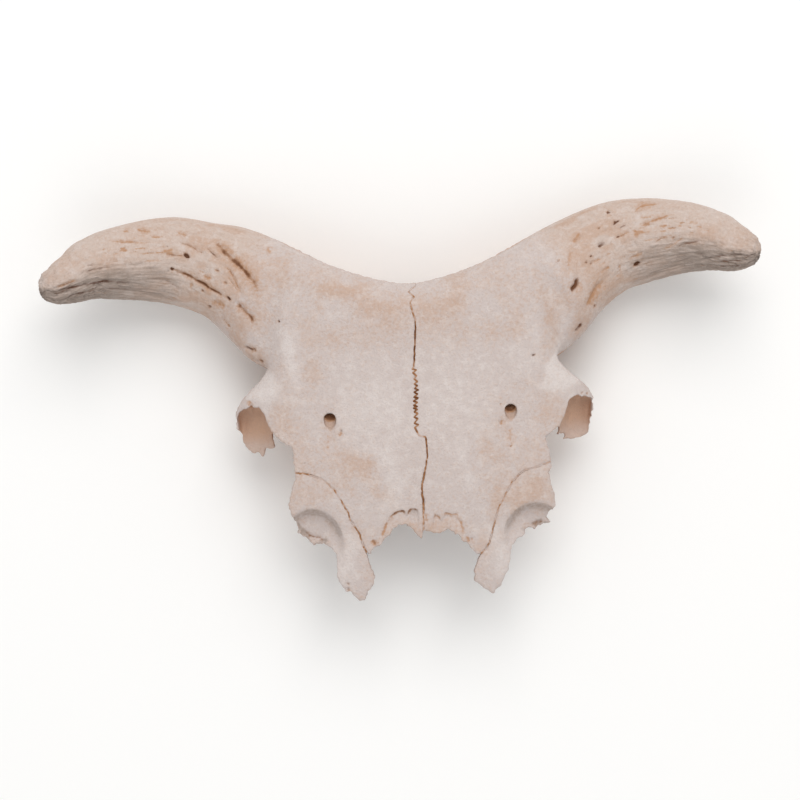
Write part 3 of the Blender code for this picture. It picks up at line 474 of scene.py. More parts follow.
# Pits: centre in the front view, radius and depth (mm), and how dark its soil is, from 0 to 1
PITS = {
    "left": [(111.0, 83.0, 1.0, 1.6, 1.0), (118.5, 76.5, 0.8, 1.2, 0.9), (96.0, 75.0, 0.7, 0.7, 0.5),
             (92.0, 68.5, 0.7, 0.7, 0.5), (104.0, 65.0, 0.6, 0.7, 0.5), (101.0, 57.0, 0.7, 0.7, 0.6),
             (66.0, 47.5, 0.5, 0.8, 0.7), (90.5, 60.0, 1.1, 1.6, 1.0), (37.5, -8.5, 0.55, 0.8, 0.5),
             (56.5, -23.5, 0.4, 0.6, 0.6), (38.3, -84.7, 0.9, 0.7, 0.5), (38.2, -87.2, 0.9, 0.7, 0.5),
             (44.8, -16.3, 0.5, 0.3, 0.4), (79.6, 34.0, 1.0, 0.8, 0.5), (76.2, 28.4, 1.0, 0.8, 0.5)],
    "right": [(114.5, 67.5, 1.0, 1.5, 0.9), (132.5, 79.5, 0.9, 1.2, 0.5), (96.5, 87.0, 0.6, 0.8, 0.6),
              (105.5, 81.5, 0.7, 0.8, 0.6), (91.5, 72.5, 0.7, 1.0, 0.7), (89.0, 69.5, 0.7, 0.9, 0.7),
              (91.5, 69.0, 0.6, 0.7, 0.5), (92.5, 47.5, 0.7, 0.7, 0.5), (75.0, 71.0, 0.5, 0.5, 0.4),
              (60.0, 24.5, 0.8, 1.4, 0.9), (101.5, 95.0, 0.7, 0.9, 0.7), (104.5, 89.5, 0.8, 1.0, 0.8),
              (42.0, 1.0, 0.45, 0.6, 0.5), (24.5, -65.4, 0.6, 0.5, 0.3), (83.5, 4.6, 0.5, 0.4, 0.4),
              (85.9, 4.1, 0.5, 0.4, 0.4), (46.1, -20.1, 0.5, 0.3, 0.4)],
}

# Crumbling crust along the lower outer edge of each lacrimal bone, where it starts and is full, how
# far that wanders, and the height of its crumbs (mm)
CRUSTS = {
    "left": [(65.0, -51.5), (62.0, -56.0), (58.0, -60.0), (53.5, -63.5), (48.0, -64.0)],
    "right": [(66.5, -52.0), (64.0, -58.5), (58.0, -60.5), (52.0, -61.0)],
}
CRUST_REACH = (3.2, 0.8)
CRUST_WANDER = 0.8
CRUST_HEIGHT = 0.65

# Tan patches where the bone kept its fat: centre and half sizes (mm), turn in degrees, strength
TAN_PATCHES = {
    "left": [(35.5, 61.5, 17.0, 4.5, 8.0, 1.0), (62.5, 72.0, 11.0, 9.0, 20.0, 0.7),
             (17.0, 44.0, 10.0, 6.0, 0.0, 0.35), (49.0, 23.5, 7.0, 9.0, 0.0, 0.75),
             (25.0, -30.5, 8.0, 15.0, -25.0, 0.9), (33.5, -15.0, 7.0, 7.0, 0.0, 0.35),
             (30.0, -62.0, 6.0, 9.0, -20.0, 0.8), (69.5, 5.0, 4.0, 5.0, 0.0, 0.7),
             (63.5, -12.5, 3.6, 3.6, 0.0, 0.5), (67.0, -43.5, 4.0, 8.0, 0.0, 0.5),
             (45.0, -14.0, 3.4, 7.0, 0.0, 0.5), (15.5, -41.5, 3.4, 7.0, -20.0, 0.6),
             (78.0, 30.5, 7.0, 4.5, 50.0, 1.0), (88.0, 62.0, 17.0, 15.0, 40.0, 0.8),
             (60.0, -22.0, 8.0, 16.0, 0.0, 0.55), (36.0, -22.0, 9.0, 15.0, -20.0, 0.6),
             (46.0, 66.0, 26.0, 11.0, 20.0, 0.55), (66.0, -1.0, 6.0, 8.0, 0.0, 0.7),
             (84.0, 70.0, 8.0, 15.0, 35.0, 1.2), (84.0, 47.0, 6.0, 11.0, 40.0, 1.1),
             (126.0, 94.0, 17.0, 6.0, 0.0, 0.7)],
    "right": [(26.5, 65.5, 9.0, 3.5, 10.0, 0.7), (47.0, 53.0, 5.0, 4.0, 0.0, 0.5),
              (32.0, 35.5, 12.0, 8.0, 0.0, 0.35), (69.0, 43.0, 5.5, 13.0, 10.0, 0.95),
              (34.0, -17.5, 7.0, 7.0, 0.0, 0.6), (52.0, -43.0, 15.0, 7.0, 15.0, 0.9),
              (31.0, -66.0, 6.0, 8.0, -15.0, 0.9), (73.5, 10.5, 6.0, 7.0, 0.0, 0.5),
              (45.5, -14.5, 3.0, 7.0, 0.0, 0.6), (38.0, -48.5, 4.6, 10.0, -15.0, 0.8),
              (92.0, 60.0, 15.0, 14.0, 40.0, 0.75), (59.0, -24.0, 8.0, 13.0, 0.0, 0.5),
              (46.0, 64.0, 24.0, 11.0, -15.0, 0.5), (70.0, 3.0, 6.0, 8.0, 0.0, 0.6),
              (86.0, 70.0, 8.0, 14.0, 20.0, 1.0), (86.0, 45.0, 6.0, 12.0, -30.0, 1.0),
              (165.0, 76.0, 10.0, 8.0, 0.0, 0.7)],
}

# Clean middle of the forehead, with little tan: its level and half sizes (mm), and where it starts
# and is full in shares of them
CLEAN_Y = -8.0
CLEAN_HALF = (36.0, 44.0)
CLEAN_EDGE = (1.25, 0.7)

# Bleached patches, in the same terms as the tan ones; those at the temples, at (81, 14) on the left and (77,
# 17) on the right, are painted light that brightens them
BLEACHED_AND_LIT_PATCHES = {
    "left": [(61.0, 27.0, 4.0, 15.0, -10.0, 0.9), (20.0, 2.0, 22.0, 22.0, 0.0, 0.6),
             (13.0, -30.0, 7.0, 17.0, 5.0, 0.7), (81.0, 14.0, 12.0, 10.0, -45.0, 1.2),
             (39.0, -76.0, 8.0, 15.0, 15.0, 0.7), (56.0, 40.0, 9.0, 7.0, 0.0, 0.4)],
    "right": [(16.0, 6.0, 26.0, 24.0, 0.0, 0.5), (23.0, -26.0, 4.0, 16.0, 5.0, 0.6),
              (77.0, 43.0, 2.5, 9.0, 20.0, 0.5), (77.0, 17.0, 14.0, 11.0, -40.0, 1.4),
              (39.0, -76.0, 8.0, 15.0, 15.0, 0.7), (60.0, 22.0, 12.0, 12.0, 0.0, 0.5)],
}

# Horn cores: length of their fibres' coordinate, and how far it spreads round a horn (mm), then how
# many places along the axis are searched, and for how many points at a time
HORN_LENGTH = 165.0
FIBRE_SPREAD = (12.0, 0.45)
HORN_PLACES = 240
HORN_BATCH = 20000

# Patterns of a horn core: length and width of their lumps (mm), the noise's seed, and the values where
# each starts and is full. Where the start is the larger one, the pattern follows the noise's zero line.
HORN_PATTERNS = {
    "furrow": (24.0, 2.3, 21, 0.2, 0.0), "crease": (13.0, 1.2, 24, 0.3, 0.0),
    "pores": (2.0, 1.5, 28, 0.35, 0.7), "dashes": (4.5, 1.4, 23, 0.45, 0.68),
    "flecks": (2.4, 1.0, 29, 0.3, 0.6), "clusters": (26.0, 11.0, 25, -0.1, 0.6),
    "blotches": (9.0, 4.0, 30, -0.3, 0.35),
}

# Lumps and swells of a horn core: length and width (mm), layers and the noise's seed
HORN_LUMPS = (7.0, 3.6, 3, 27)
HORN_SWELLS = (30.0, 7.0, 1, 22)

# Where a horn core's marks start and are full: along it from root at 0 to tip at 1, across it from
# its lower edge at -1 to its upper one at 1, or out from its axis at 0 to its surface at 1
HORN_FROM = (0.2, 0.34)
HORN_SKIN = (0.7, 0.85)
HORN_END = (0.95, 0.99)
HORN_UNDERSIDE = (0.2, -0.5)
HORN_UNDERSIDE_FROM = (0.3, 0.7)
HORN_TIP = (0.84, 0.96)
DEEP_FURROWS_FROM = (0.5, 0.85)
BLOTCHES_UNTIL = (0.95, 0.4)
DASHES_UNTIL = (0.95, 0.6)
HORN_TAN_UNTIL = (0.8, 0.34)

# Relief of a horn core (mm): furrows at the root and more towards the tip, creases, dashes, pores,
# lumps with more at the tip and on the underside, and swells
FURROW_DEPTH = (0.3, 0.7)
CREASE_DEPTH = 0.22
DASH_DEPTH = 0.45
PORE_DEPTH = 0.3
LUMP_HEIGHT = (0.2, 0.2, 0.12)
SWELL_HEIGHT = 0.35

# Relief of every bone (mm): height, size of its lumps, layers and the noise's seed, then the depth of
# the undercut arcs and the lowest level that a moved vertex may have
UNEVENNESS = ((0.22, 24.0, 3, 41), (0.05, 2.2, 1, 42))
SHELTERED_RELIEF = (0.4, 7.0, 3, 43)
BROKEN_RELIEF = (0.3, 1.6, 2, 44)
UNDERCUT_DEPTH = 0.4
LOWEST_POINT = 0.05

# Which faces carve, are sheltered or are broken edges: how far they look forwards, from -1 to 1, and
# how far below the front surface they lie, where each starts and is full (mm)
CARVED_FACING = (0.05, 0.45)
SHELTERED_FACING = (0.1, -0.4)
SHELTERED_BELOW = (4.5, 8.0)
BROKEN_FACING = (0.55, 0.25)
BROKEN_BELOW = (0.3, 1.2)

# Share of the inner colour: past an x inside the orbit it is painted shade, full towards the orbit's rim and
# falling along y, and elsewhere it is even
ORBIT_X = 66.0
ORBIT_SHADE_FADE_Y = (-4.0, -16.0)
ORBIT_SHADE_FADE = 0.5
INNER_SHARE = 0.65

# Finest meshes: most triangles of one bone, and how much sooner those at the back are given up
MOST_TRIANGLES = 194000
FRONT_WEIGHT = 0.02
BACK_THINNING = 2e-5

# Values from 0 to 1 that a bone's mesh carries for its material, some of which also hold painted shade and
# light
LAYERS = ("tan", "bleached_and_lit", "horn", "fibrous", "grime_and_shade", "inner", "rust", "stain_and_shadow")

# Noise: its random values, the primes that scatter cells over them, and how far a seed moves it
NOISE_VALUES = np.random.default_rng(seed=11).random(4096) * 2.0 - 1.0
NOISE_PRIMES = (73856093, 19349663, 83492791)
NOISE_SEED_SHIFT = 31.7

# Stage (m): half the floor's width and its level, what the lights point at, place, size and colour of
# each light, and the camera: its place across the view, its sensor (mm), how far it sees, and the
# level of the bones at which the width of the view is measured
FLOOR_HALF = 4.0
FLOOR_Z = -0.0002
LIGHT_TARGET = (0.0, 0.0, 0.04)
KEY_PLACE = (0.35, 1.7, 2.3)
KEY_SIZE = 2.2
KEY_COLOUR = (1.0, 0.985, 0.97)
FILL_PLACE = (-0.3, -1.6, 2.0)
FILL_SIZE = 1.6
FILL_COLOUR = (1.0, 1.0, 1.0)
CAMERA_PLACE = (-0.0031, 0.0004)
CAMERA_SENSOR = 36.0
CAMERA_SIGHT = 20.0
BONES_LEVEL = 0.045


def linear(hex_colour):
    """Linear RGBA of an sRGB hex value."""
    channels = [int(hex_colour[i:i + 2], 16) / 255.0 for i in (1, 3, 5)]
    return tuple(c / 12.92 if c <= 0.04045 else ((c + 0.055) / 1.055) ** 2.4 for c in channels) + (1.0,)


def spacing(name, description, millimetres, least, most):
    """Length property given in millimetres."""
    return FloatProperty(name=name, description=description, default=millimetres * MM, min=least * MM,
                         max=most * MM, unit="LENGTH", precision=5)


def tint(name, description, hex_colour):
    """Colour property given as an sRGB hex value."""
    return FloatVectorProperty(name=name, description=description, default=linear(hex_colour),
                               subtype="COLOR", size=4, min=0.0, max=1.0)


class SkullShape(bpy.types.PropertyGroup):
    """Fineness and wear of the bones."""

    grain: spacing("Surface grain", "Spacing of the finished surface's points", 0.6, 0.4, 3.0)
    quick_grain: spacing("Quick grain", "Spacing for a quick look", 1.2, 0.6, 4.0)
    body_grain: spacing("Body grain", "Spacing of the rough body before it is cut", 1.1, 0.6, 4.0)
    raggedness: spacing("Raggedness", "How far broken edges wander", 0.5, 0.0, 1.0)
    groove_depth: FloatProperty(name="Groove depth", description="Strength of grooves and pits",
                                default=1.0, min=0.0, max=2.0, subtype="FACTOR")


class SkullFinish(bpy.types.PropertyGroup):
    """Colours of the dry bone."""

    pale: tint("Pale bone", "Bleached forehead bone", "#CBBEB9")
    # Also a painted highlight on the temples
    bleached_and_lit: tint("Bleached bone", "Whitest lumps of the bone", "#DDD4D0")
    tan: tint("Tan bone", "Patches where the bone kept its fat", "#C2A491")
    horn: tint("Horn core", "Porous bone of the horn cores", "#CDBAAE")
    # Also painted shade on the horn cores' undersides, in the brow holes and under the arches of the
    # lacrimal hollows
    grime_and_shade: tint("Grime", "Grey dirt between the horn cores' ridges", "#9C8D83")
    # Also painted shade in the orbit's hollow, darkest under its rim, and in the brow holes
    inner: tint("Inner bone", "Sheltered, browner inner faces", "#C49D83")
    rust: tint("Rusty soil", "Orange soil in shallow grooves and dots", "#B3845F")
    # Also painted shadow along the arcs at the nasal notch
    stain_and_shadow: tint("Stain", "Dark soil in deep grooves, pits and sutures", "#5E3418")


class SkullStage(bpy.types.PropertyGroup):
    """Floor, light and camera."""

    floor: tint("Floor", "Colour of the floor", "#FAFAF9")
    key_power: FloatProperty(name="Key light", description="Large soft light from the poll side",
                             default=45.0, min=0.0, max=500.0, unit="POWER")
    fill_power: FloatProperty(name="Fill light", description="Soft light from the nose side",
                              default=9.0, min=0.0, max=500.0, unit="POWER")
    sky: FloatProperty(name="Surroundings", description="Brightness of the white surroundings",
                       default=0.6, min=0.0, max=5.0)
    camera_height: FloatProperty(name="Camera height", description="Camera above the ground",
                                 default=1.4, min=0.5, max=5.0, unit="LENGTH")
    view_width: FloatProperty(name="View width", description="Width of the view at the bones",
                              default=0.4, min=0.1, max=2.0, unit="LENGTH")
    roll: FloatProperty(name="Roll", description="Turn of the skull in the view",
                        default=math.radians(2.86), subtype="ANGLE")


def ramp(low, high, value):
    """Smooth rise from 0 at low to 1 at high; low may be the larger of the two."""
    t = np.clip((value - low) / (high - low), 0.0, 1.0)
    return t * t * (3.0 - 2.0 * t)


def along(points, t):
    """Points at t from 0 to 1 on the smooth curve through the given points."""
    points = np.asarray(points, dtype=float)
    t = np.clip(np.asarray(t, dtype=float), 0.0, 1.0)
    last = len(points) - 1
    place = t * last
    i = np.minimum(place.astype(int), last - 1)
    f = (place - i)[..., None]
    p0, p1, p2, p3 = (points[np.clip(i + k, 0, last)] for k in (-1, 0, 1, 2))
    return 0.5 * (2 * p1 + (p2 - p0) * f + (2 * p0 - 5 * p1 + 4 * p2 - p3) * f**2
                  + (3 * p1 - p0 - 3 * p2 + p3) * f**3)


def noise(points, size, seed=0):
    """Smooth noise from -1 to 1 with lumps of the given size."""
    spots = points / size + NOISE_SEED_SHIFT * seed
    cell = np.floor(spots).astype(np.int64)
    f = spots - cell
    f = f * f * (3.0 - 2.0 * f)
    total = np.zeros(len(points))
    for corner in itertools.product((0, 1), repeat=3):
        c = cell + np.array(corner)
        index = np.bitwise_xor.reduce(c * NOISE_PRIMES, axis=1) % len(NOISE_VALUES)
        weight = np.prod(np.where(np.array(corner) == 1, f, 1.0 - f), axis=1)
        total += weight * NOISE_VALUES[index]
    return total


def layered_noise(points, size, layers, seed=0):
    """Noise with finer and weaker layers added."""
    total = np.zeros(len(points))
    for k in range(layers):
        total += noise(points, size / 2.0**k, seed + 3 * k) / 2.0**k
    return total


def polyline_distance(x, y, points):
    """Distance in the front view to a polyline, and the place along it from 0 to 1."""
    points = np.asarray(points, dtype=float)
    best = np.full(len(x), np.inf)
    place = np.zeros(len(x))
    lengths = np.linalg.norm(np.diff(points, axis=0), axis=1)
    starts = np.concatenate(([0.0], np.cumsum(lengths)))
    for k, (a, b) in enumerate(zip(points, points[1:])):
        run = b - a
        t = np.clip(((x - a[0]) * run[0] + (y - a[1]) * run[1]) / max(lengths[k] ** 2, 1e-9), 0.0, 1.0)
        gap = np.hypot(x - a[0] - t * run[0], y - a[1] - t * run[1])
        closer = gap < best
        best = np.where(closer, gap, best)
        place = np.where(closer, (starts[k] + t * lengths[k]) / starts[-1], place)
    return best, place


def poll_edge(side, x):
    """Height in the front view of the rounded edge between the horns."""
    reach = np.hypot(x, POLL_EDGE_BLEND) - POLL_EDGE_BLEND
    return POLL_EDGE_Y + POLL_EDGE_SLOPE[side] * reach + POLL_EDGE_CURVE * reach**2


def brow_height(side, x, y):
    """Front surface of the forehead and lacrimal bone; x is measured outwards."""
    z = BROW_Z - BROW_SIDE_FALL * x**2
    z = z - NOSE_FALL * np.maximum(0.0, NOSE_FALL_START - y) ** 2
    z = z - POLL_FALL * np.maximum(0.0, y - POLL_FALL_START) ** 2
    z = z - POLL_DROP * np.maximum(0.0, 1.0 - (poll_edge(side, x) - y) / POLL_ROUNDING) ** 2
    z = z - ORBIT_FALL * np.maximum(0.0, x - ORBIT_FALL_START) ** 2
    z = z - TEMPLE_FALL * np.maximum(0.0, x - TEMPLE_FALL_START) ** 2 * ramp(*TEMPLE_FALL_Y, y)
    hole_x, hole_y = BROW_HOLES[side]
    run = ramp(hole_y, hole_y - BROW_GROOVE_START, y)
    run = run * ramp(hole_y - BROW_GROOVE_LENGTH, hole_y - BROW_GROOVE_FADE, y)
    z = z - BROW_GROOVE_DEPTH * run * np.exp(-(((x - hole_x) / BROW_GROOVE_WIDTH) ** 2))
    centre_x, centre_y, half_x, half_y = LACRIMAL_HOLLOW[side]
    inside = np.hypot((x - centre_x) / half_x, (y - centre_y) / half_y)
    start, full, share = LACRIMAL_HOLLOW_FLOOR
    hollow = (1.0 - share) * ramp(1.0, LACRIMAL_HOLLOW_LIP, inside) + share * ramp(start, full, inside)
    return z - LACRIMAL_HOLLOW_DEPTH * hollow * ramp(*LACRIMAL_HOLLOW_END, y)


def brow_thickness(x, y):
    """Thickness of the forehead, thicker over the braincase and at the nasal notch."""
    rear = BRAINCASE_EXTRA * ramp(*BRAINCASE_Y, y)
    front = NASAL_EXTRA * ramp(*NASAL_Y, y) * ramp(*NASAL_X, np.abs(x))
    return PLATE_THICKNESS + rear + front


class Solids:
    """Vertices and faces of overlapping closed solids."""

    def __init__(self):
        self.points = []
        self.faces = []

    def add_grid(self, grid):
        """Add rows of points as quads and return their numbers."""
        start = len(self.points)
        rows, columns = grid.shape[:2]
        self.points.extend(map(tuple, grid.reshape(-1, 3)))
        numbers = np.arange(start, start + rows * columns).reshape(rows, columns)
        self.add_strip(numbers)
        return numbers

    def add_strip(self, numbers):
        """Quads between rows of point numbers."""
        a, b = numbers[:-1, :-1].ravel(), numbers[:-1, 1:].ravel()
        c, d = numbers[1:, 1:].ravel(), numbers[1:, :-1].ravel()
        self.faces.extend(zip(a.tolist(), b.tolist(), c.tolist(), d.tolist()))

    def add_slab(self, front, back):
        """Closed slab between two grids of points."""
        top = self.add_grid(front)
        low = self.add_grid(back)
        for edge in ((top[0], low[0]), (top[-1], low[-1]), (top[:, 0], low[:, 0]), (top[:, -1], low[:, -1])):
            self.add_strip(np.array(edge))

    def add_tube(self, rings, poles):
        """Closed tube through rings, each end drawn to its pole."""
        start = len(self.points)
        count, around = rings.shape[:2]
        self.points.extend(map(tuple, rings.reshape(-1, 3)))
        numbers = start + np.arange(count * around).reshape(count, around)
        self.add_strip(np.concatenate([numbers, numbers[:, :1]], axis=1))
        for ring, pole in ((numbers[0], poles[0]), (numbers[-1], poles[1])):
            self.points.append(tuple(pole))
            tip = len(self.points) - 1
            self.faces.extend((int(a), int(b), tip) for a, b in zip(ring, np.roll(ring, -1)))


def unit_grid(counts):
    """Two grids of places from 0 to 1, across and up a surface."""
    across, up = counts
    return np.meshgrid(np.linspace(0.0, 1.0, across), np.linspace(0.0, 1.0, up))


def add_plate(solids, side, top_y=math.inf):
    """Forehead, orbit roof and lacrimal bone of one side as one curved plate, up to top_y."""
    u, v = unit_grid(PLATE_GRID)
    level = PLATE_LOW_Y + v * (min(top_y, float(poll_edge(side, PLATE_REACH_X))) - PLATE_LOW_Y)
    lower, upper = PLATE_TEMPLE_Y
    reach = PLATE_REACH_X + PLATE_TEMPLE_EXTRA * ramp(*lower, level) * ramp(*upper, level)
    x = -PLATE_PAST_MIDLINE + u * (reach + PLATE_PAST_MIDLINE)
    y = PLATE_LOW_Y + v * (np.minimum(top_y, poll_edge(side, x)) - PLATE_LOW_Y)
    z = brow_height(side, x, y)
    front = np.stack([x, y, z], axis=-1)
    back = np.stack([x, y, z - brow_thickness(x, y)], axis=-1)
    solids.add_slab(front, back)


def add_wall(solids, top, foot, thickness, side=None):
    """Curved wall between a top line, raised into one side's plate where it is named, and its foot."""
    across, down = WALL_GRID
    u = np.linspace(0.0, 1.0, across)
    low, high = along(foot, u), along(top, u)
    if side:
        x, y = high[:, 0], high[:, 1]
        high[:, 2] = np.maximum(high[:, 2], brow_height(side, x, y) - brow_thickness(x, y) + WALL_OVERLAP)
    run = along(top, u + WALL_RUN_STEP) - along(top, u - WALL_RUN_STEP)
    outward = np.stack([-run[:, 1], run[:, 0], np.zeros(across)], axis=-1)
    outward /= np.linalg.norm(outward, axis=1)[:, None]
    v = np.linspace(0.0, 1.0, down)[:, None, None]
    middle = low[None] + (high - low)[None] * v
    half = 0.5 * thickness * outward[None]
    solids.add_slab(middle + half, middle - half)


def add_process(solids, side):
    """Broken process behind the orbit, deep enough to hold its concave orbital face."""
    u, v = unit_grid(PROCESS_GRID)
    inner, outer = along(PROCESS_INNER, v), along(PROCESS_OUTER[side], v)
    spot = inner + (outer - inner) * u[..., None]
    x, y = spot[..., 0], spot[..., 1]
    z = brow_height(side, x, y)
    depth = PROCESS_THICKNESS + CUP_DEPTH * ramp(*PROCESS_DEEP_Y, y)
    solids.add_slab(np.stack([x, y, z], axis=-1), np.stack([x, y, z - depth], axis=-1))


def horn_frames(side, count):
    """Places, half sizes and cross directions along a horn axis."""
    t = np.linspace(0.0, 1.0, count)
    rows = along(HORN_AXIS[side], t)
    ahead, behind = along(HORN_AXIS[side], t + HORN_RUN_STEP), along(HORN_AXIS[side], t - HORN_RUN_STEP)
    run = ahead[:, :3] - behind[:, :3]
    run /= np.linalg.norm(run, axis=1)[:, None]
    flat = np.stack([-run[:, 1], run[:, 0], np.zeros(count)], axis=-1)
    flat /= np.linalg.norm(flat, axis=1)[:, None]
    return rows, run, flat, np.cross(run, flat)


def add_horn(solids, side):
    """Horn core: a tapering, slightly flattened tube with a blunt tip."""
    rows, run, flat, rise = horn_frames(side, HORN_RINGS)
    angle = np.linspace(0.0, 2.0 * math.pi, HORN_AROUND, endpoint=False)
    across = (rows[:, 3, None] * np.cos(angle))[..., None] * flat[:, None]
    deep = (rows[:, 4, None] * np.sin(angle))[..., None] * rise[:, None]
    rings = rows[:, None, :3] + across + deep
    ends = [rows[-1, :3] + run[-1] * ahead + (across + deep)[-1] * narrower
            for ahead, narrower in TIP_ROUNDING]
    rings = np.concatenate([rings, ends])
    poles = (rows[0, :3] - HORN_ROOT_REACH * run[0], rows[-1, :3] + TIP_REACH * run[-1])
    solids.add_tube(rings, poles)


def to_world(side, points):
    """From the skull's frame, x outwards, to metres."""
    placed = np.array(points, dtype=float)
    placed[:, 0] = SIGN[side] * placed[:, 0] + MIDLINE_X
    placed[:, 1] += BROW_LINE_Y
    return placed * MM


def to_skull(side, points):
    """From metres back to the skull's frame, x outwards."""
    placed = np.array(points, dtype=float) / MM
    placed[:, 0] = SIGN[side] * (placed[:, 0] - MIDLINE_X)
    placed[:, 1] -= BROW_LINE_Y
    return placed


def add_object(name, points, faces):
    """Mesh object from points in metres and faces, with its faces turned outwards."""
    mesh = bpy.data.meshes.new(name)
    mesh.from_pydata([tuple(p) for p in points], [], faces)
    bm = bmesh.new()
    bm.from_mesh(mesh)
    bmesh.ops.recalc_face_normals(bm, faces=bm.faces)
    bm.to_mesh(mesh)
    bm.free()
    obj = bpy.data.objects.new(name, mesh)
    bpy.context.collection.objects.link(obj)
    return obj


def add_loft(name, side, loops):
    """Closed cutter through loops of points, bottom to top or top to bottom."""
    count = len(loops[0])
    points = to_world(side, np.concatenate([np.asarray(loop, dtype=float) for loop in loops]))
    faces = [tuple(range(count)), tuple(range((len(loops) - 1) * count, len(loops) * count))]
    for j in range(len(loops) - 1):
        for k in range(count):
            a, b = j * count + k, j * count + (k + 1) % count
            faces.append((a, b, b + count, a + count))
    return add_object(name, points, faces)


def break_up(points, raggedness, seed, step=0.9):
    """Fill a broken edge with points a step apart that wander sideways."""
    points = np.asarray(points, dtype=float)
    rng = np.random.default_rng(seed)
    filled = []
    for a, b in zip(points, points[1:]):
        run = b - a
        length = np.linalg.norm(run)
        count = max(1, int(round(length / step)))
        side_way = np.array([-run[1], run[0]]) / max(length, 1e-6)
        for k in range(count):
            wander = 0.0 if k == 0 else rng.uniform(-1.0, 1.0) * raggedness
            filled.append(tuple(a + run * k / count + side_way * wander))
    filled.append(tuple(points[-1]))
    return filled


def middle_suture():
    """Points along the suture between the frontal bones, poll to nose, x to the right."""
    count = 2 * SUTURE_ZIGZAG_TEETH + 1
    teeth = along(SUTURE_ZIGZAG, np.linspace(0.0, 1.0, count))
    rng = np.random.default_rng(seed=5)
    swing = np.where(np.arange(count) % 2 == 1, 1.0, -1.0) * rng.uniform(*SUTURE_TOOTH_SHARE, count)
    teeth[:, 0] += SUTURE_ZIGZAG_REACH * swing
    teeth[1:-1, 1] += rng.uniform(-SUTURE_TOOTH_SHIFT, SUTURE_TOOTH_SHIFT, count - 2)
    top = break_up(SUTURE_TOP, raggedness=0.18, seed=2, step=1.2)
    bottom = break_up(SUTURE_BOTTOM, raggedness=0.2, seed=3, step=1.2)
    return top + [tuple(p) for p in teeth] + bottom


def tapered(count):
    """Weights along a suture that fall to nothing at both of its ends."""
    place = np.linspace(0.0, 1.0, count)
    return ramp(0.0, SUTURE_TAPER, place) * ramp(1.0, 1.0 - SUTURE_TAPER, place)


def suture_at(side, shift):
    """The middle suture as one bone's border, moved sideways; x is measured outwards."""
    points = middle_suture()
    moves = shift * tapered(len(points))
    levels, gaps = list(zip(*SUTURE_FILL))[:2]
    return [(SIGN[side] * (x + move) + 0.5 * float(np.interp(y, levels, gaps)), y)
            for (x, y), move in zip(points, moves)]


def surface_lean(side, points):
    """How far a leaning suture has moved sideways where it meets the front surface."""
    levels, shifts = zip(*SUTURE_LEAN)
    return np.interp(brow_height(side, np.abs(points[:, 0]), points[:, 1]), levels, shifts)


def lacrimal_suture_at(side, gap_side, shift):
    """The lacrimal suture as one bone's border; shift moves it up and inwards."""
    across, up = LACRIMAL_SUTURE_SIDEWAYS
    wandering = break_up(LACRIMAL_SUTURE[side], raggedness=0.3, seed=4, step=1.0)
    reaches = 0.5 * LACRIMAL_GAP * gap_side + shift * tapered(len(wandering))
    return [(x + across * reach, y + up * reach) for (x, y), reach in zip(wandering, reaches)]


def frontal_outline(side, ragged, shift):
    """Front outline of a frontal bone; past the rounded edges it runs clear of the bone."""
    start = suture_at(side, shift)
    nasal = break_up(NASAL_EDGE[side], ragged, seed=6)
    orbit = break_up(ORBIT_EDGE[side], ragged, seed=7)
    seam = lacrimal_suture_at(side, 1.0, shift * SIGN[side])
    return [(start[0][0], CLEAR_Y)] + start + nasal + seam[::-1] + orbit + HORN_CLEARANCE


def lacrimal_outline(side, ragged, shift):
    """Front outline of a lacrimal bone."""
    edge = break_up(LACRIMAL_EDGE[side], ragged, seed=8)
    return lacrimal_suture_at(side, -1.0, shift * SIGN[side])[::-1] + edge


def make_prism(side, outline, ragged):
    """Cutter with a bone's outline whose suture faces lean through the thickness of the plate."""
    loops = [[(x, y, z) for x, y in outline(side, ragged, shift)] for z, shift in SUTURE_LEAN]
    return add_loft(side + "_prism", side, loops)


def make_cup(side):
    """Cutter for the concave orbital face, undercut below its rim and rounded at its floor."""
    border = CUP_MOUTH[side] + CUP_MOUTH[side][:1]
    mouth = np.array(break_up(border, raggedness=0.15, seed=9, step=1.6)[:-1])
    centre_x = mouth[:, 0].mean()
    rear, front, share = CUP_SHALLOW
    loops = []
    for depth, scale, drop in CUP_LEVELS:
        x = centre_x + (mouth[:, 0] - centre_x) * scale
        y = np.where(mouth[:, 1] > CUP_OPEN_Y, mouth[:, 1] - drop, mouth[:, 1])
        sunk = depth
        if depth > CUP_RIM:
            sunk = depth * (1.0 - (1.0 - share) * ramp(front, rear, y))
        loops.append(np.stack([x, y, brow_height(side, x, y) - sunk], axis=-1))
    return add_loft(side + "_cup_cutter", side, loops)


def make_brow_hole(side, around=28):
    """Cutter for the brow hole: a tapering mouth, then a canal that leans towards the poll."""
    x, y = BROW_HOLES[side]
    angle = np.linspace(0.0, 2.0 * math.pi, around, endpoint=False)
    surface = float(brow_height(side, x, y))
    loops = []
    for depth in BROW_HOLE_LEVELS:
        tail = 1.0 + BROW_HOLE_TAIL * max(0.0, 1.0 - depth / BROW_HOLE_MOUTH)
        lean = BROW_HOLE_LEAN * max(0.0, depth - BROW_HOLE_MOUTH)
        low = np.maximum(0.0, -np.sin(angle))
        narrower = 1.0 - BROW_HOLE_NARROWING * (1.0 - 1.0 / tail) * low
        ring_x = x + BROW_HOLE_RADIUS * np.cos(angle) * narrower
        ring_y = y + lean + BROW_HOLE_RADIUS * np.sin(angle) * np.where(low > 0.0, tail, 1.0)
        loops.append(np.stack([ring_x, ring_y, np.full(around, surface - depth)], axis=-1))
    return add_loft(side + "_brow_hole_cutter", side, loops)


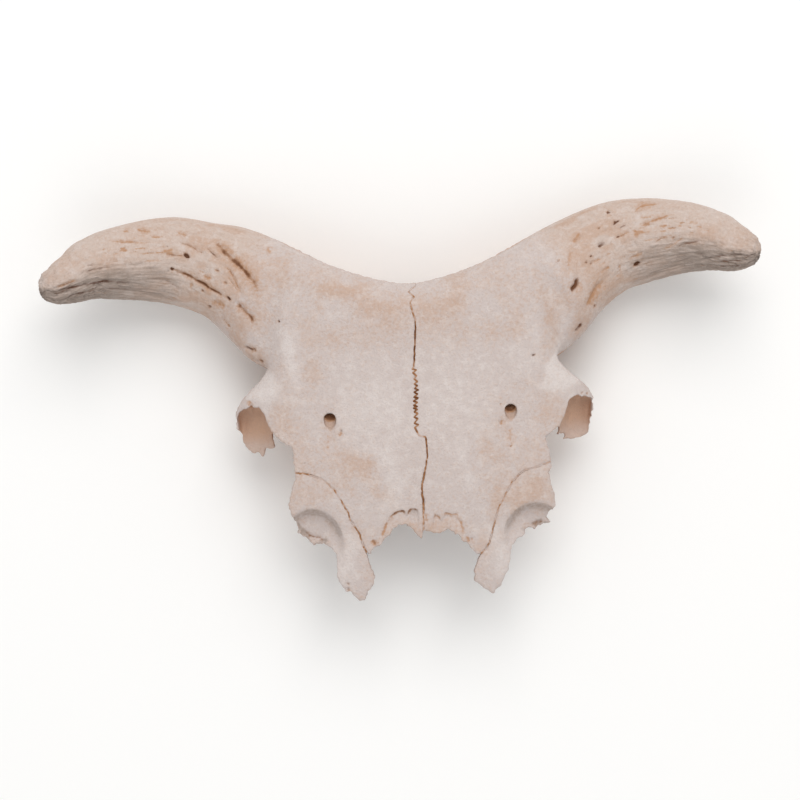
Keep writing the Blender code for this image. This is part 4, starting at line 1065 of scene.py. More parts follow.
def make_table_step(side):
    """Cutter that thins the bone below the scallops at the nasal notch."""
    outline = break_up(TABLE_SCALLOPS[side], raggedness=0.25, seed=10, step=1.0)
    inner_x, outer_x = outline[-1][0], outline[0][0]
    for start, (ahead, y) in zip((inner_x, outer_x, outer_x), TABLE_CUT):
        outline.append((start + ahead, y))
    level = float(brow_height(side, *TABLE_SPOT)) - TABLE_STEP
    loops = [[(x, y, z) for x, y in outline] for z in (level, TABLE_CUT_TOP)]
    return add_loft(side + "_table_cutter", side, loops)


def modify(obj, kind, **settings):
    """Add one modifier with its settings."""
    modifier = obj.modifiers.new(kind.lower(), kind)
    for key, value in settings.items():
        setattr(modifier, key, value)
    return modifier


def baked_mesh(obj):
    """The object's mesh with every modifier applied."""
    graph = bpy.context.evaluated_depsgraph_get()
    return bpy.data.meshes.new_from_object(obj.evaluated_get(graph))


def taken_mesh(obj):
    """The baked mesh of an object that is removed, together with its cutters."""
    cutters = [m.object for m in obj.modifiers if m.type == "BOOLEAN"]
    mesh = baked_mesh(obj)
    for item in [obj] + cutters:
        bpy.data.objects.remove(item, do_unlink=True)
    return mesh


def smooth_joint(side, body):
    """Blend the root of the horn core into the forehead, without moving the outline."""
    points, normals = read_mesh(side, body.data)
    _, t, _, _ = horn_place(side, points)
    start, end = JOINT_ALONG
    joint = ramp(*start, t) * ramp(*end, t) * ramp(*JOINT_FACING, normals[:, 2])
    near = np.flatnonzero(joint > JOINT_LEAST)
    group = body.vertex_groups.new(name="joint")
    for level in range(1, JOINT_LEVELS + 1):
        here = near[np.ceil(joint[near] * JOINT_LEVELS) == level]
        group.add(here.tolist(), level / JOINT_LEVELS, "REPLACE")
    modify(body, "SMOOTH", factor=0.5, iterations=JOINT_ROUNDS, vertex_group="joint")


def rough_bone(side, solids, outline, others=(), has_horn=False):
    """Fuse a rough body, cut it to its outline and fuse the result finely."""
    shape = bpy.context.scene.skull_shape
    grain = shape.grain
    body = add_object(side + "_body", to_world(side, solids.points), solids.faces)
    modify(body, "REMESH", mode="VOXEL", voxel_size=max(shape.body_grain, grain))
    modify(body, "SMOOTH", factor=0.5, iterations=BODY_ROUNDS)
    if has_horn:
        body = bpy.data.objects.new(side + "_body", taken_mesh(body))
        bpy.context.collection.objects.link(body)
        smooth_joint(side, body)
    prism = make_prism(side, outline, shape.raggedness / MM)
    modify(body, "BOOLEAN", operation="INTERSECT", solver="EXACT", object=prism)
    for cutter in others:
        modify(body, "BOOLEAN", operation="DIFFERENCE", solver="EXACT", object=cutter)
    modify(body, "REMESH", mode="VOXEL", voxel_size=grain)
    modify(body, "SMOOTH", factor=0.4, iterations=1)
    mesh = taken_mesh(body)
    if not mesh.vertices:
        raise RuntimeError("cutting the bones of the " + side + " side left nothing")
    return mesh


def read_mesh(side, mesh):
    """Vertices and normals of a mesh in the skull's frame."""
    count = len(mesh.vertices)
    points = np.empty(count * 3, dtype=np.float32)
    normals = np.empty(count * 3, dtype=np.float32)
    mesh.vertices.foreach_get("co", points)
    mesh.vertex_normals.foreach_get("vector", normals)
    normals = normals.reshape(-1, 3).astype(float)
    normals[:, 0] *= SIGN[side]
    return to_skull(side, points.reshape(-1, 3)), normals


def horn_place(side, points):
    """Fibre coordinates round a horn core, the place along and across it, and out from its axis."""
    rows, run, flat, rise = horn_frames(side, HORN_PLACES)
    nearest = np.zeros(len(points), dtype=int)
    for start in range(0, len(points), HORN_BATCH):
        batch = slice(start, start + HORN_BATCH)
        gaps = ((points[batch, None, :] - rows[None, :, :3]) ** 2).sum(axis=2)
        nearest[batch] = gaps.argmin(axis=1)
    offset = points - rows[nearest, :3]
    wide = (offset * flat[nearest]).sum(axis=1) / rows[nearest, 3]
    deep = (offset * rise[nearest]).sum(axis=1) / rows[nearest, 4]
    t = nearest / (HORN_PLACES - 1.0)
    spread = FIBRE_SPREAD[0] + FIBRE_SPREAD[1] * rows[nearest, 3]
    length = t * HORN_LENGTH + (offset * run[nearest]).sum(axis=1)
    fibre = np.stack([length, wide * spread, deep * spread], axis=1)
    return fibre, t, wide, np.hypot(wide, deep)


def horn_noise(fibre, length, width, layers, seed):
    """Noise on a horn core, with lumps of the given length and width along its fibres."""
    return layered_noise(fibre / (length, width, width), 1.0, layers, seed)


def horn_pattern(fibre, key):
    """One pattern of a horn core, from 0 to 1."""
    length, width, seed, start, full = HORN_PATTERNS[key]
    value = horn_noise(fibre, length, width, 1, seed)
    return ramp(start, full, np.abs(value) if start > full else value)


def horn_texture(side, points):
    """Depth and colours of a horn core: long furrows, fibres, dash-shaped pores and a rough tip."""
    fibre, t, wide, reach = horn_place(side, points)
    pattern = {key: horn_pattern(fibre, key) for key in HORN_PATTERNS}
    on_horn = ramp(*HORN_FROM, t) * np.maximum(ramp(*HORN_SKIN, reach), ramp(*HORN_END, t))
    lower = ramp(*HORN_UNDERSIDE, wide) * ramp(*HORN_UNDERSIDE_FROM, t)
    tip = ramp(*HORN_TIP, t)
    deep = ramp(*DEEP_FURROWS_FROM, t)
    rough = on_horn * np.clip(0.2 + 0.8 * lower + 0.2 * tip, 0.0, 1.0)
    furrow, crease = pattern["furrow"], pattern["crease"]
    flecks = pattern["flecks"] * on_horn * pattern["clusters"]
    blotches = pattern["blotches"] * ramp(*BLOTCHES_UNTIL, t)
    clustered = (0.25 + 0.75 * pattern["clusters"]) * ramp(*DASHES_UNTIL, t)
    dashes = pattern["dashes"] * on_horn * clustered

    shallow, deeper = FURROW_DEPTH
    depth = rough * ((shallow + deeper * deep) * furrow + CREASE_DEPTH * crease)
    depth = depth + DASH_DEPTH * dashes + PORE_DEPTH * on_horn * pattern["pores"]
    everywhere, more_at_tip, more_below = LUMP_HEIGHT
    lumpy = everywhere + more_at_tip * tip + more_below * lower
    raised = lumpy * horn_noise(fibre, *HORN_LUMPS) + SWELL_HEIGHT * horn_noise(fibre, *HORN_SWELLS)
    depth = depth - on_horn * raised

    # Shares of each pattern in each layer of colour
    colours = {
        "horn": on_horn,
        # Painted shade on the underside of the horn core and in its creases, together with grey dirt
        "grime_and_shade": on_horn * np.clip(1.05 * lower * (0.7 + 0.3 * furrow) + 0.2 * rough * crease, 0.0, 1.0),
        "rust": np.clip(0.85 * dashes + (0.3 + 0.5 * blotches) * flecks + 0.2 * on_horn * blotches
                        + 0.35 * rough * furrow * (1.0 - lower), 0.0, 1.0),
        "stain_and_shadow": 0.45 * rough * furrow * lower * deep + 0.2 * dashes,
        "tan": on_horn * (0.35 + 0.65 * ramp(*HORN_TAN_UNTIL, t)) * (0.3 + 0.7 * blotches),
        "fibrous": on_horn * np.clip(0.2 + 0.8 * lower + 0.15 * tip, 0.0, 1.0),
    }
    return depth, colours, fibre


def wandered(points, axis):
    """One front coordinate of each point, moved so that what follows it wanders."""
    moved = points[:, axis]
    for reach, size, *seeds in GROOVE_WANDER:
        moved = moved + reach * noise(points, size, seeds[axis])
    return moved


def cut_grooves(side, points, facing):
    """Depth, dark soil and rusty soil of the listed grooves."""
    depth, dark, rust = np.zeros((3, len(points)))
    x, y = wandered(points, 0), wandered(points, 1)
    for line, width, deep, dark_soil, rust_soil in GROOVES[side]:
        curve = along(line, np.linspace(0.0, 1.0, GROOVE_STEPS))
        low, high = curve.min(axis=0) - GROOVE_MARGIN, curve.max(axis=0) + GROOVE_MARGIN
        near = np.flatnonzero((x > low[0]) & (x < high[0]) & (y > low[1]) & (y < high[1]))
        gap, place = polyline_distance(x[near], y[near], curve)
        ends = ramp(*GROOVE_FIRST_END, place) * ramp(*GROOVE_LAST_END, place)
        patchy = 0.6 + 0.4 * ramp(-0.6, 0.4, noise(points[near], 2.4, 33))
        cut = np.exp(-((gap / (GROOVE_CUT * width)) ** 2)) * (0.25 + 0.75 * ends) * facing[near]
        slope, halo = (np.exp(-((gap / (share * width)) ** 2)) * (0.3 + 0.7 * ends) * facing[near]
                       for share in (GROOVE_SLOPE, GROOVE_HALO))
        sunk = deep * ((1.0 - GROOVE_SLOPE_SHARE) * cut + GROOVE_SLOPE_SHARE * slope)
        depth[near] = np.maximum(depth[near], sunk)
        dark[near] = np.maximum(dark[near], dark_soil * cut * patchy)
        rusty = np.clip(rust_soil * np.maximum(1.2 * cut, 0.75 * halo), 0.0, 1.0)
        rust[near] = np.maximum(rust[near], rusty * (0.4 + 0.6 * patchy))
    return depth, dark, rust


def carve_front(side, points, normals):
    """Depth, dark soil and rusty soil of the listed grooves and pits, on faces that look forwards."""
    facing = ramp(*CARVED_FACING, normals[:, 2])
    depth, dark, rust = cut_grooves(side, points, facing)
    uneven = PIT_UNEVENNESS * noise(points, 1.3, 34)
    run_x, run_y = PIT_RUN
    for x, y, radius, deep, dark_soil in PITS[side]:
        across, up = points[:, 0] - x, points[:, 1] - y
        reach = np.hypot((across * run_x + up * run_y) / PIT_STRETCH,
                         (up * run_x - across * run_y) * PIT_STRETCH)
        reach = reach / radius + uneven
        cut = ramp(*PIT_EDGE, reach) * facing
        depth = np.maximum(depth, deep * cut)
        dark = np.maximum(dark, dark_soil * cut)
        rust = np.maximum(rust, 0.6 * ramp(*PIT_RIM, reach) * facing)
    return depth, dark, rust


def patches(rows, points, seed):
    """Strength of the listed patches, whose edges break up into clouds."""
    wander = 0.6 * layered_noise(points, 9.0, 5, seed)
    total = np.zeros(len(points))
    for x, y, half_x, half_y, turn, strength in rows:
        across, up = points[:, 0] - x, points[:, 1] - y
        cos_turn, sin_turn = math.cos(math.radians(turn)), math.sin(math.radians(turn))
        reach = np.hypot((across * cos_turn + up * sin_turn) / half_x,
                         (up * cos_turn - across * sin_turn) / half_y)
        total = np.maximum(total, strength * ramp(1.8, 0.1, reach + wander))
    return total


def relief(points, height, size, layers, seed, share=1.0):
    """Lumps of one size, with finer ones on them, as high as their share of the full height (mm)."""
    return height * share * layered_noise(points, size, layers, seed)


def unevenness(points):
    """Gentle waves and fine lumps of every bone's surface (mm)."""
    return sum(relief(points, *row) for row in UNEVENNESS)


def tan_wash(points):
    """Faint tan all over a bone, weaker on the clean middle of the forehead."""
    x, y, _ = points.T
    half_x, half_y = CLEAN_HALF
    clean = ramp(*CLEAN_EDGE, np.hypot(x / half_x, (y - CLEAN_Y) / half_y))
    return (0.32 + 0.5 * layered_noise(points, 14.0, 5, 52)) * (1.0 - 0.8 * clean)


def add_marks(colours, marks):
    """Raise each layer of colour to what the marks ask for."""
    for name, values in marks.items():
        colours[name] = np.maximum(colours[name], values)


def brow_hole_marks(side, x, y, below):
    """Soil and shade in a brow hole and in the throat of its groove."""
    hole_x, hole_y = BROW_HOLES[side]
    drop = hole_y - y
    sunk = ramp(*HOLE_SHADE_BELOW, below) * ramp(*HOLE_SHADE_REACH, np.hypot(x - hole_x, y - hole_y))
    sides = np.abs(x - hole_x) / np.interp(drop, *BROW_THROAT)
    throat = ramp(*THROAT_SIDES, sides) * ramp(*THROAT_UNTIL, drop)
    sunk = np.maximum(sunk, throat * ramp(*THROAT_FROM, drop))
    reach = np.hypot(x - hole_x, y - hole_y - HOLE_SOIL_SHIFT)
    deep = ramp(*HOLE_SOIL_BELOW, below) * ramp(*HOLE_SOIL_REACH, reach)
    deep = deep * (below < BROW_HOLE_BOTTOM)
    return {"inner": 0.6 * sunk, "grime_and_shade": 0.45 * sunk, "rust": deep,
            "stain_and_shadow": 0.65 * deep * ramp(*HOLE_DARK_BELOW, below)}


def notch_marks(side, points, below):
    """Depth of the undercut below the arcs at the nasal notch (mm), and their soil and painted shade."""
    x, y, _ = points.T
    gap, _ = polyline_distance(x, y, TABLE_SCALLOPS[side])
    undercut = ramp(*ARC_REACH, gap) * ramp(*ARC_FROM_Y, y) * ramp(*ARC_BELOW, below)
    undercut *= ramp(*ARC_START_FADE, x - TABLE_START[side])
    undercut *= 0.3 + 0.7 * ramp(*ARC_BRIDGE_FADE, np.abs(x - TABLE_BRIDGE[side]))
    patchy = ramp(-0.5, 0.4, noise(points, 2.6, 47))
    # Dark soil along the arcs, which also stands in for the shadow under their step
    marks = {"rust": undercut * (0.4 + 0.5 * patchy),
             "stain_and_shadow": 0.6 * undercut * patchy * ramp(*ARC_DARK_Y, y)}
    if side == "left":
        spot_x, spot_y = PURPLE_SPOT
        purple = ramp(*PURPLE_REACH, np.hypot(x - spot_x, (y - spot_y) * PURPLE_Y_WEIGHT))
        marks["grime_and_shade"] = 0.5 * purple * ramp(*PURPLE_BELOW, below)
    return UNDERCUT_DEPTH * undercut * patchy, marks


def lacrimal_marks(side, points, colours):
    """Height of a lacrimal bone's crumbling crust, with its colours and those of the hollow, whose arch is
    given painted shade.
    """
    x, y, _ = points.T
    gap, _ = polyline_distance(x, y, CRUSTS[side])
    crust = ramp(*CRUST_REACH, gap + CRUST_WANDER * noise(points, 3.0, 45))
    crumbs = layered_noise(points, 2.4, 3, 46)
    centre_x, centre_y, half_x, half_y = LACRIMAL_HOLLOW[side]
    inside = np.hypot((x - centre_x) / half_x, (y - centre_y) / half_y)
    arch_shade = ramp(*ARCH_OUTER, inside) * ramp(*ARCH_INNER, inside) * ramp(*ARCH_FROM_Y, y)
    colours["tan"] = colours["tan"] * ramp(*HOLLOW_TAN, inside)
    # Painted shade under the hollow's arch, grey dirt on the crust, and a paler floor
    add_marks(colours, {"grime_and_shade": np.maximum(0.55 * arch_shade, 0.7 * crust * ramp(0.4, -0.4, crumbs)),
                        "bleached_and_lit": 0.25 * ramp(*HOLLOW_PALER, inside) * (1.0 - crust),
                        "tan": 0.5 * crust})
    return CRUST_HEIGHT * crust * crumbs


def store_layers(mesh, colours, fibre):
    """Write the layers of colour and the fibre coordinates to a mesh."""
    for name in LAYERS:
        stored = mesh.attributes.new(name, "FLOAT", "POINT")
        stored.data.foreach_set("value", np.clip(colours[name], 0.0, 1.0).astype(np.float32))
    stored = mesh.attributes.new("fibre", "FLOAT_VECTOR", "POINT")
    stored.data.foreach_set("vector", (fibre * MM).astype(np.float32).ravel())


def weather(side, mesh, kind):
    """Move every vertex of a bone by its wear, and store the values that its material colours it by."""
    points, normals = read_mesh(side, mesh)
    x, y, z = points.T
    below = brow_height(side, x, y) - z
    push = unevenness(points)
    colours = {name: np.zeros(len(points)) for name in LAYERS}
    fibre = points
    colours["tan"] = np.maximum(tan_wash(points), patches(TAN_PATCHES[side], points, 51))
    colours["bleached_and_lit"] = patches(BLEACHED_AND_LIT_PATCHES[side], points, 53)
    if kind == "frontal":
        depth, horn_colours, fibre = horn_texture(side, points)
        undercut, notch_colours = notch_marks(side, points, below)
        push = push - depth - undercut
        for marks in (horn_colours, brow_hole_marks(side, x, y, below), notch_colours):
            add_marks(colours, marks)
    else:
        push = push + lacrimal_marks(side, points, colours)
    depth, dark, rust = carve_front(side, points, normals)
    push = push - bpy.context.scene.skull_shape.groove_depth * depth
    add_marks(colours, {"stain_and_shadow": dark, "rust": rust})

    # Browner sheltered faces, partly the bone's own colour and partly painted shade, which in the orbit's
    # hollow is darkest under its rim, and tan broken edges
    bare = 1.0 - colours["horn"]
    sheltered = np.maximum(ramp(*SHELTERED_FACING, normals[:, 2]), ramp(*SHELTERED_BELOW, below)) * bare
    share = np.where(x > ORBIT_X, 1.0 - ORBIT_SHADE_FADE * ramp(*ORBIT_SHADE_FADE_Y, y), INNER_SHARE)
    broken = ramp(*BROKEN_FACING, np.abs(normals[:, 2])) * ramp(*BROKEN_BELOW, below) * bare
    add_marks(colours, {"inner": np.clip(sheltered, 0.0, 1.0) * share, "tan": 0.5 * broken})
    push = push + relief(points, *SHELTERED_RELIEF, share=colours["inner"])
    push = push + relief(points, *BROKEN_RELIEF, share=broken)
    moved = points + normals * push[:, None]
    moved[:, 2] = np.maximum(moved[:, 2], LOWEST_POINT)
    mesh.vertices.foreach_set("co", to_world(side, moved).astype(np.float32).ravel())
    store_layers(mesh, colours, fibre)
    mesh.update()


def make_soil(name, side, line, fill):
    """Ribbon of soil in a suture, whose width, level against the bone and darkness fill gives."""
    steps = [0.0] + list(np.cumsum(np.linalg.norm(np.diff(line, axis=0), axis=1)))
    spots = np.arange(0.0, steps[-1], SOIL_STEP)
    x, y = (np.interp(spots, steps, values) for values in np.transpose(line))
    width, level, dark = fill(side, y)
    flat = np.stack([x, y, np.zeros(len(x))], axis=1)
    run_x, run_y = np.gradient(x), np.gradient(y)
    length = np.hypot(run_x, run_y)
    slant = np.clip(2.0 * run_x / length, -1.0, 1.0) if side is None else 0.0
    width = width * (1.0 + SOIL_WIDTH_CHANGE * noise(flat, SOIL_WIDTH_LUMPS, 71))
    width = width * (1.0 + SOIL_SLANT_WIDTH * slant)
    rings = []
    for across, sunk in ((-0.5, 0.0), (0.0, -SOIL_CROWN), (0.5, 0.0), (0.5, 1.0), (-0.5, 1.0)):
        ring_x = x - across * width * run_y / length
        ring_y = y + across * width * run_x / length
        out_x = np.abs(ring_x) if side is None else ring_x
        ring_z = brow_height(side or "left", out_x, ring_y)
        ring_z = ring_z + unevenness(np.stack([out_x, ring_y, ring_z], axis=1)) + level
        rings.append(np.stack([ring_x, ring_y, ring_z - sunk * SOIL_DEPTH], axis=1))
    rings = np.stack(rings, axis=1)
    solids = Solids()
    solids.add_tube(rings, (rings[0].mean(axis=0), rings[-1].mean(axis=0)))
    piece = add_object(name, to_world(side or "right", solids.points), solids.faces)
    beads = 0.85 + SOIL_BEAD_CHANGE * noise(flat, SOIL_BEAD_LUMPS, 72) + SOIL_SLANT_DARKNESS * slant
    beads = dark * beads
    values = np.concatenate([np.repeat(beads, rings.shape[1]), beads[:1], beads[-1:]])
    stored = piece.data.attributes.new("dark", "FLOAT", "POINT")
    stored.data.foreach_set("value", np.clip(values, 0.0, 1.0).astype(np.float32))
    piece.data.materials.append(packed_soil("packed_soil_" + name))
    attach(piece, "root")


def middle_fill(side, y):
    """Width, level and darkness of the soil along the middle suture."""
    levels, _, width, level, dark = zip(*SUTURE_FILL)
    return tuple(np.interp(y, levels, values) for values in (width, level, dark))


def lacrimal_fill(side, y):
    """Width, level and darkness of the soil along a lacrimal suture, which is dotted."""
    width, level, dark = LACRIMAL_FILL[side]
    spots = np.stack([y, 0.0 * y, 0.0 * y], axis=1)
    dots = ramp(-0.5, 0.3, noise(spots, SOIL_DOT_LENGTH, 73))
    width = width * (1.0 - SOIL_DOT_NARROWING + SOIL_DOT_NARROWING * dots)
    return width, level + 0.0 * y, dark * (1.0 - SOIL_DOT_SHARE + SOIL_DOT_SHARE * dots)


def add_node(tree, kind, inputs=(), **settings):
    """Add one shader node with its settings and its input values or links."""
    node = tree.nodes.new(kind)
    for key, value in settings.items():
        setattr(node, key, value)
    for key, value in dict(inputs).items():
        if isinstance(value, bpy.types.NodeSocket):
            tree.links.new(value, node.inputs[key])
        else:
            node.inputs[key].default_value = value
    return node


def dry_bone(name):
    """Dry bone, whitened and weathered: matt, pinkish cream, mottled tan, pored and soil-stained, with
    painted shade and light from some of its layers.
    """
    finish = bpy.context.scene.skull_finish
    material = bpy.data.materials.new(name)
    material.use_nodes = True
    tree = material.node_tree
    shader = tree.nodes["Principled BSDF"]
    spot = add_node(tree, "ShaderNodeTexCoord").outputs["Object"]
    stored = {key: add_node(tree, "ShaderNodeAttribute", attribute_name=key).outputs["Fac"]
              for key in LAYERS}
    fibre = add_node(tree, "ShaderNodeAttribute", attribute_name="fibre").outputs["Vector"]
    fibre = add_node(tree, "ShaderNodeMapping", {"Vector": fibre, "Scale": (0.14, 1.0, 1.0)}).outputs[0]

    # Lumps of each pattern in millimetres; streaks run along the horn, seven times as long as wide
    pattern = {}
    for key, vector, size, detail, roughness in (
            ("mottling", spot, 4.2, 5.0, 0.68), ("speckle", spot, 1.6, 3.0, 0.65),
            ("grain", spot, 1.0, 3.0, 0.7), ("streaks", fibre, 1.5, 4.0, 0.7)):
        pattern[key] = add_node(tree, "ShaderNodeTexNoise", {
            "Vector": vector, "Scale": 1.0 / (size * MM), "Detail": detail,
            "Roughness": roughness}).outputs["Fac"]

    # What breaks up the edges of marks: mottling and speckle on the forehead, streaks on fibrous horn
    cloudy = add_node(tree, "ShaderNodeMix", {0: 0.5, 2: pattern["mottling"], 3: pattern["speckle"]},
                      data_type="FLOAT").outputs[0]
    breaks = add_node(tree, "ShaderNodeMix", {0: stored["fibrous"], 2: cloudy, 3: pattern["streaks"]},
                      data_type="FLOAT").outputs[0]
    broken = {}
    for key, reach in (("tan", 3.0), ("bleached_and_lit", 2.0), ("rust", 1.8), ("stain_and_shadow", 0.8),
                       ("grime_and_shade", 1.6)):
        shift = add_node(tree, "ShaderNodeMath", {0: breaks, 1: reach, 2: -0.5 * reach},
                         operation="MULTIPLY_ADD").outputs[0]
        broken[key] = add_node(tree, "ShaderNodeMath", {0: stored[key], 1: shift}).outputs[0]

    # Each amount: what it reads, the values where it starts and is full, and its highest value
    amount = {}
    for key, source, start, full, highest in (
            ("tan", broken["tan"], 0.0, 1.2, 0.9), ("rust", broken["rust"], 0.2, 1.0, 0.85),
            ("stain_and_shadow", broken["stain_and_shadow"], 0.2, 0.8, 0.9), ("grime_and_shade", broken["grime_and_shade"], 0.1, 1.0, 0.85),
            ("bleached_and_lit", broken["bleached_and_lit"], 0.1, 1.1, 0.8),
            ("light", pattern["mottling"], 0.46, 0.66, 0.42),
            ("dots", pattern["speckle"], 0.5, 0.68, 0.2),
            ("dim", pattern["grain"], 0.48, 0.66, 0.14),
            ("streaks", pattern["streaks"], 0.4, 0.68, 1.0),
            ("horn", stored["horn"], 0.0, 1.0, 0.8), ("inner", stored["inner"], 0.0, 1.0, 0.9)):
        amount[key] = add_node(tree, "ShaderNodeMapRange", {
            0: source, 1: start, 2: full, 3: 0.0, 4: highest}, interpolation_type="SMOOTHSTEP").outputs[0]
    ridges = add_node(tree, "ShaderNodeMath", {0: amount["streaks"], 1: stored["fibrous"]},
                      operation="MULTIPLY").outputs[0]
    dirt = add_node(tree, "ShaderNodeMath", {0: ridges, 1: 0.2}, operation="MULTIPLY").outputs[0]

    # The grey, inner and dark stain colours also carry painted shade, and the bleached colour a painted
    # highlight at the temples
    colour = tuple(finish.pale)
    for factor, shade in ((amount["horn"], finish.horn), (amount["tan"], finish.tan),
                          (amount["bleached_and_lit"], finish.bleached_and_lit), (amount["light"], finish.bleached_and_lit),
                          (amount["inner"], finish.inner), (amount["dots"], finish.tan),
                          (amount["grime_and_shade"], finish.grime_and_shade), (dirt, finish.grime_and_shade),
                          (amount["dim"], finish.grime_and_shade), (amount["rust"], finish.rust),
                          (amount["stain_and_shadow"], finish.stain_and_shadow)):
        colour = add_node(tree, "ShaderNodeMix", {0: factor, 6: colour, 7: tuple(shade)},
                          data_type="RGBA").outputs[2]
    tree.links.new(colour, shader.inputs["Base Color"])

    # Relief in millimetres: grain and pores all over, ridges along the horn's streaks
    height = 0.0
    for source, rise in ((pattern["grain"], 0.45), (pattern["speckle"], 0.4), (ridges, -0.24),
                         (amount["rust"], -0.1)):
        height = add_node(tree, "ShaderNodeMath", {0: source, 1: rise, 2: height},
                          operation="MULTIPLY_ADD").outputs[0]
    bump = add_node(tree, "ShaderNodeBump", {"Height": height, "Strength": 1.0, "Distance": MM})
    tree.links.new(bump.outputs[0], shader.inputs["Normal"])
    shader.inputs["Roughness"].default_value = 0.75
    shader.inputs["IOR"].default_value = 1.5
    shader.inputs["Specular IOR Level"].default_value = 0.3
    return material


def packed_soil(name):
    """Fine dry soil packed into a suture: dull, bone-pale where thin and dark brown where deep."""
    finish = bpy.context.scene.skull_finish
    material = bpy.data.materials.new(name)
    material.use_nodes = True
    tree = material.node_tree
    shader = tree.nodes["Principled BSDF"]
    dark = add_node(tree, "ShaderNodeAttribute", attribute_name="dark").outputs["Fac"]
    thin = add_node(tree, "ShaderNodeMapRange", {0: dark, 1: 0.05, 2: 0.45, 3: 0.0, 4: 1.0}).outputs[0]
    deep = add_node(tree, "ShaderNodeMapRange", {0: dark, 1: 0.3, 2: 0.85, 3: 0.0, 4: 0.9}).outputs[0]
    colour = add_node(tree, "ShaderNodeMix", {0: thin, 6: tuple(finish.pale), 7: tuple(finish.rust)},
                      data_type="RGBA").outputs[2]
    colour = add_node(tree, "ShaderNodeMix", {0: deep, 6: colour, 7: tuple(finish.stain_and_shadow)},
                      data_type="RGBA").outputs[2]
    tree.links.new(colour, shader.inputs["Base Color"])
    spot = add_node(tree, "ShaderNodeTexCoord").outputs["Object"]
    crumbs = add_node(tree, "ShaderNodeTexNoise", {"Vector": spot, "Scale": 1.0 / (0.5 * MM)}).outputs["Fac"]
    bump = add_node(tree, "ShaderNodeBump", {"Height": crumbs, "Strength": 1.0, "Distance": 0.2 * MM})
    tree.links.new(bump.outputs[0], shader.inputs["Normal"])
    shader.inputs["Roughness"].default_value = 0.95
    shader.inputs["Specular IOR Level"].default_value = 0.2
    return material


def thin_out(piece):
    """Remove the triangles that say least, most of them at the back, down to the limit of one bone."""
    triangles = sum(len(face.vertices) - 2 for face in piece.data.polygons)
    if triangles <= MOST_TRIANGLES:
        return
    normals = np.empty(len(piece.data.vertices) * 3, dtype=np.float32)
    piece.data.vertex_normals.foreach_get("vector", normals)
    group = piece.vertex_groups.new(name="back")
    group.add(np.flatnonzero(normals[2::3] < 0.0).tolist(), 1.0, "REPLACE")
    group.add(np.flatnonzero(normals[2::3] >= 0.0).tolist(), FRONT_WEIGHT, "REPLACE")
    modify(piece, "DECIMATE", ratio=MOST_TRIANGLES / triangles, vertex_group="back",
           vertex_group_factor=BACK_THINNING)
    mesh = baked_mesh(piece)
    piece.modifiers.clear()
    piece.vertex_groups.clear()
    piece.data = mesh


def dress(side, kind, mesh):
    """Finished bone from its mesh, in the place of its plain solid."""
    node = side + "_" + kind + "_bone"
    piece = bpy.data.objects.new(side + "_" + kind, mesh)
    bpy.context.collection.objects.link(piece)
    thin_out(piece)
    piece.data.materials.clear()
    piece.data.materials.append(dry_bone("weathered_bone_" + side + "_" + kind))
    piece.data.shade_smooth()
    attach(piece, "root")
    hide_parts(node)
    return piece


class SKULL_OT_frontal_bones(bpy.types.Operator):
    """Model both frontal bones with their horn cores"""

    bl_idname = "skull.frontal_bones"
    bl_label = "Frontal bones"

    def execute(self, context):
        for side in SIDES:
            solids = Solids()
            add_plate(solids, side)
            add_wall(solids, SIDE_WALL_TOP, SIDE_WALL_FOOT, SIDE_WALL, side)
            add_wall(solids, POLL_WALL_TOP, POLL_WALL_FOOT, POLL_WALL)
            add_wall(solids, CROSS_RIDGE_TOP, CROSS_RIDGE_FOOT, RIDGE_THICKNESS)
            add_wall(solids, CREST_TOP, CREST_FOOT, RIDGE_THICKNESS)
            add_process(solids, side)
            add_horn(solids, side)
            cutters = [make_cup(side), make_table_step(side), make_brow_hole(side)]
            mesh = rough_bone(side, solids, frontal_outline, cutters, has_horn=True)
            weather(side, mesh, "frontal")
            dress(side, "frontal", mesh)
        return {"FINISHED"}


class SKULL_OT_lacrimal_bones(bpy.types.Operator):
    """Model both lacrimal bones with their prongs"""

    bl_idname = "skull.lacrimal_bones"
    bl_label = "Lacrimal bones"

    def execute(self, context):
        for side in SIDES:
            solids = Solids()
            add_plate(solids, side, LACRIMAL_TOP_Y)
            top, foot = SIDE_WALL_TOP[LACRIMAL_WALL_START:], SIDE_WALL_FOOT[LACRIMAL_WALL_START:]
            add_wall(solids, top, foot, SIDE_WALL, side)
            mesh = rough_bone(side, solids, lacrimal_outline)
            weather(side, mesh, "lacrimal")
            dress(side, "lacrimal", mesh)
        return {"FINISHED"}


def add_area_light(name, place, size, power, colour):
    """Square soft light at a place, pointed at the bones."""
    light = bpy.data.lights.new(name, "AREA")
    light.size = size
    light.energy = power
    light.color = colour
    lamp = bpy.data.objects.new(name, light)
    lamp.location = place
    lamp.rotation_euler = (Vector(LIGHT_TARGET) - Vector(place)).to_track_quat("-Z", "Y").to_euler()
    bpy.context.collection.objects.link(lamp)


class SKULL_OT_suture_soil(bpy.types.Operator):
    """Fill the sutures with soil"""

    bl_idname = "skull.suture_soil"
    bl_label = "Soil in the sutures"

    def execute(self, context):
        points = middle_suture()
        moves = surface_lean("left", np.array(points)) * tapered(len(points))
        line = [(x + move, y) for (x, y), move in zip(points, moves)]
        make_soil("middle_suture_soil", None, line, middle_fill)
        for side in SIDES:
            lean = surface_lean(side, np.array(lacrimal_suture_at(side, 0.0, 0.0)))
            line = lacrimal_suture_at(side, 0.0, lean * SIGN[side])
            make_soil(side + "_lacrimal_suture_soil", side, line, lacrimal_fill)
        return {"FINISHED"}


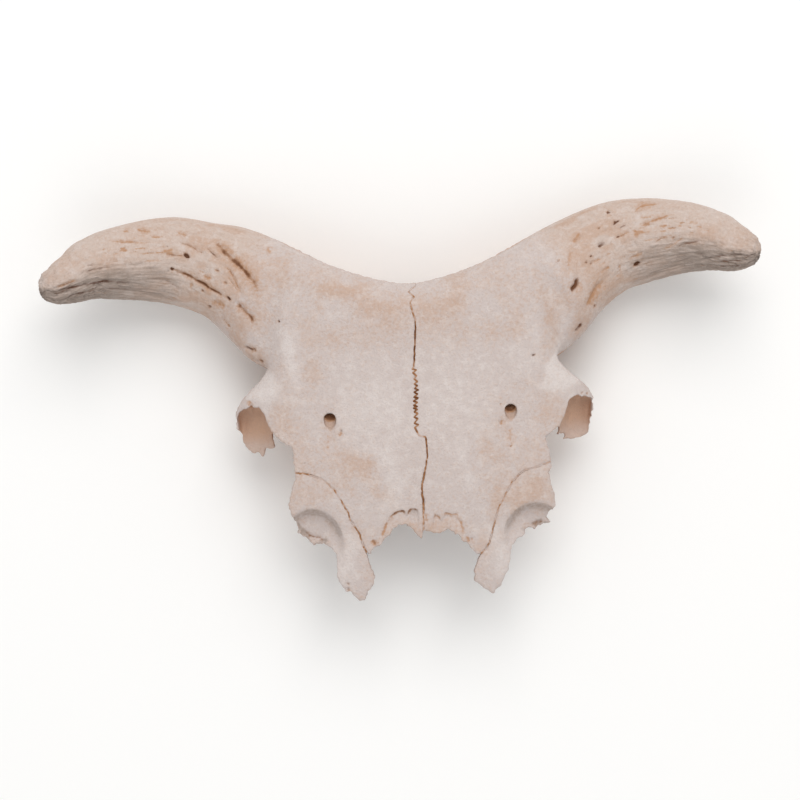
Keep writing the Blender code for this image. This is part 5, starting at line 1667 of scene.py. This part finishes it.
class SKULL_OT_stage(bpy.types.Operator):
    """Lay the floor and set light and camera"""

    bl_idname = "skull.stage"
    bl_label = "Stage"

    def execute(self, context):
        stage = context.scene.skull_stage
        corners = [(-1.0, -1.0), (1.0, -1.0), (1.0, 1.0), (-1.0, 1.0)]
        mesh = bpy.data.meshes.new("floor")
        mesh.from_pydata([(FLOOR_HALF * x, FLOOR_HALF * y, FLOOR_Z) for x, y in corners], [], [range(4)])
        floor = bpy.data.objects.new("floor", mesh)
        context.collection.objects.link(floor)
        material = bpy.data.materials.new("matt_paper_floor")
        material.use_nodes = True
        shader = material.node_tree.nodes["Principled BSDF"]
        shader.inputs["Base Color"].default_value = tuple(stage.floor)
        shader.inputs["Roughness"].default_value = 0.9
        mesh.materials.append(material)

        world = bpy.data.worlds.new("white_surroundings")
        world.use_nodes = True
        background = world.node_tree.nodes["Background"]
        background.inputs["Color"].default_value = (1.0, 1.0, 1.0, 1.0)
        background.inputs["Strength"].default_value = stage.sky
        context.scene.world = world
        context.scene.view_settings.view_transform = "Standard"
        add_area_light("key", KEY_PLACE, KEY_SIZE, stage.key_power, KEY_COLOUR)
        add_area_light("fill", FILL_PLACE, FILL_SIZE, stage.fill_power, FILL_COLOUR)

        camera = bpy.data.cameras.new("camera")
        camera.sensor_width = CAMERA_SENSOR
        reach = stage.camera_height - BONES_LEVEL
        camera.lens = camera.sensor_width * reach / stage.view_width
        camera.clip_end = CAMERA_SIGHT
        viewer = bpy.data.objects.new("camera", camera)
        viewer.location = (*CAMERA_PLACE, stage.camera_height)
        viewer.rotation_euler = (0.0, 0.0, -stage.roll)
        context.collection.objects.link(viewer)
        context.scene.camera = viewer
        return {"FINISHED"}


class SKULL_PT_panel(bpy.types.Panel):
    """Bones and stage of the horned skull cap"""

    bl_label = "Horned skull cap"
    bl_space_type = "VIEW_3D"
    bl_region_type = "UI"
    bl_category = "Skull"

    def draw(self, context):
        scene = context.scene
        for group in (scene.skull_shape, scene.skull_finish, scene.skull_stage):
            for key in group.__annotations__:
                self.layout.prop(group, key)
        for operator in OPERATORS:
            self.layout.operator(operator.bl_idname)


OPERATORS = (SKULL_OT_frontal_bones, SKULL_OT_lacrimal_bones, SKULL_OT_suture_soil, SKULL_OT_stage)
CLASSES = (SkullShape, SkullFinish, SkullStage) + OPERATORS + (SKULL_PT_panel,)


def register():
    for item in CLASSES:
        bpy.utils.register_class(item)
    bpy.types.Scene.skull_shape = PointerProperty(type=SkullShape)
    bpy.types.Scene.skull_finish = PointerProperty(type=SkullFinish)
    bpy.types.Scene.skull_stage = PointerProperty(type=SkullStage)


def unregister():
    del bpy.types.Scene.skull_stage
    del bpy.types.Scene.skull_finish
    del bpy.types.Scene.skull_shape
    for item in reversed(CLASSES):
        bpy.utils.unregister_class(item)


def main():
    register()
    bpy.ops.skull.stage()
    bpy.ops.skull.frontal_bones()
    bpy.ops.skull.lacrimal_bones()
    bpy.ops.skull.suture_soil()


if __name__ == "__main__":
    main()
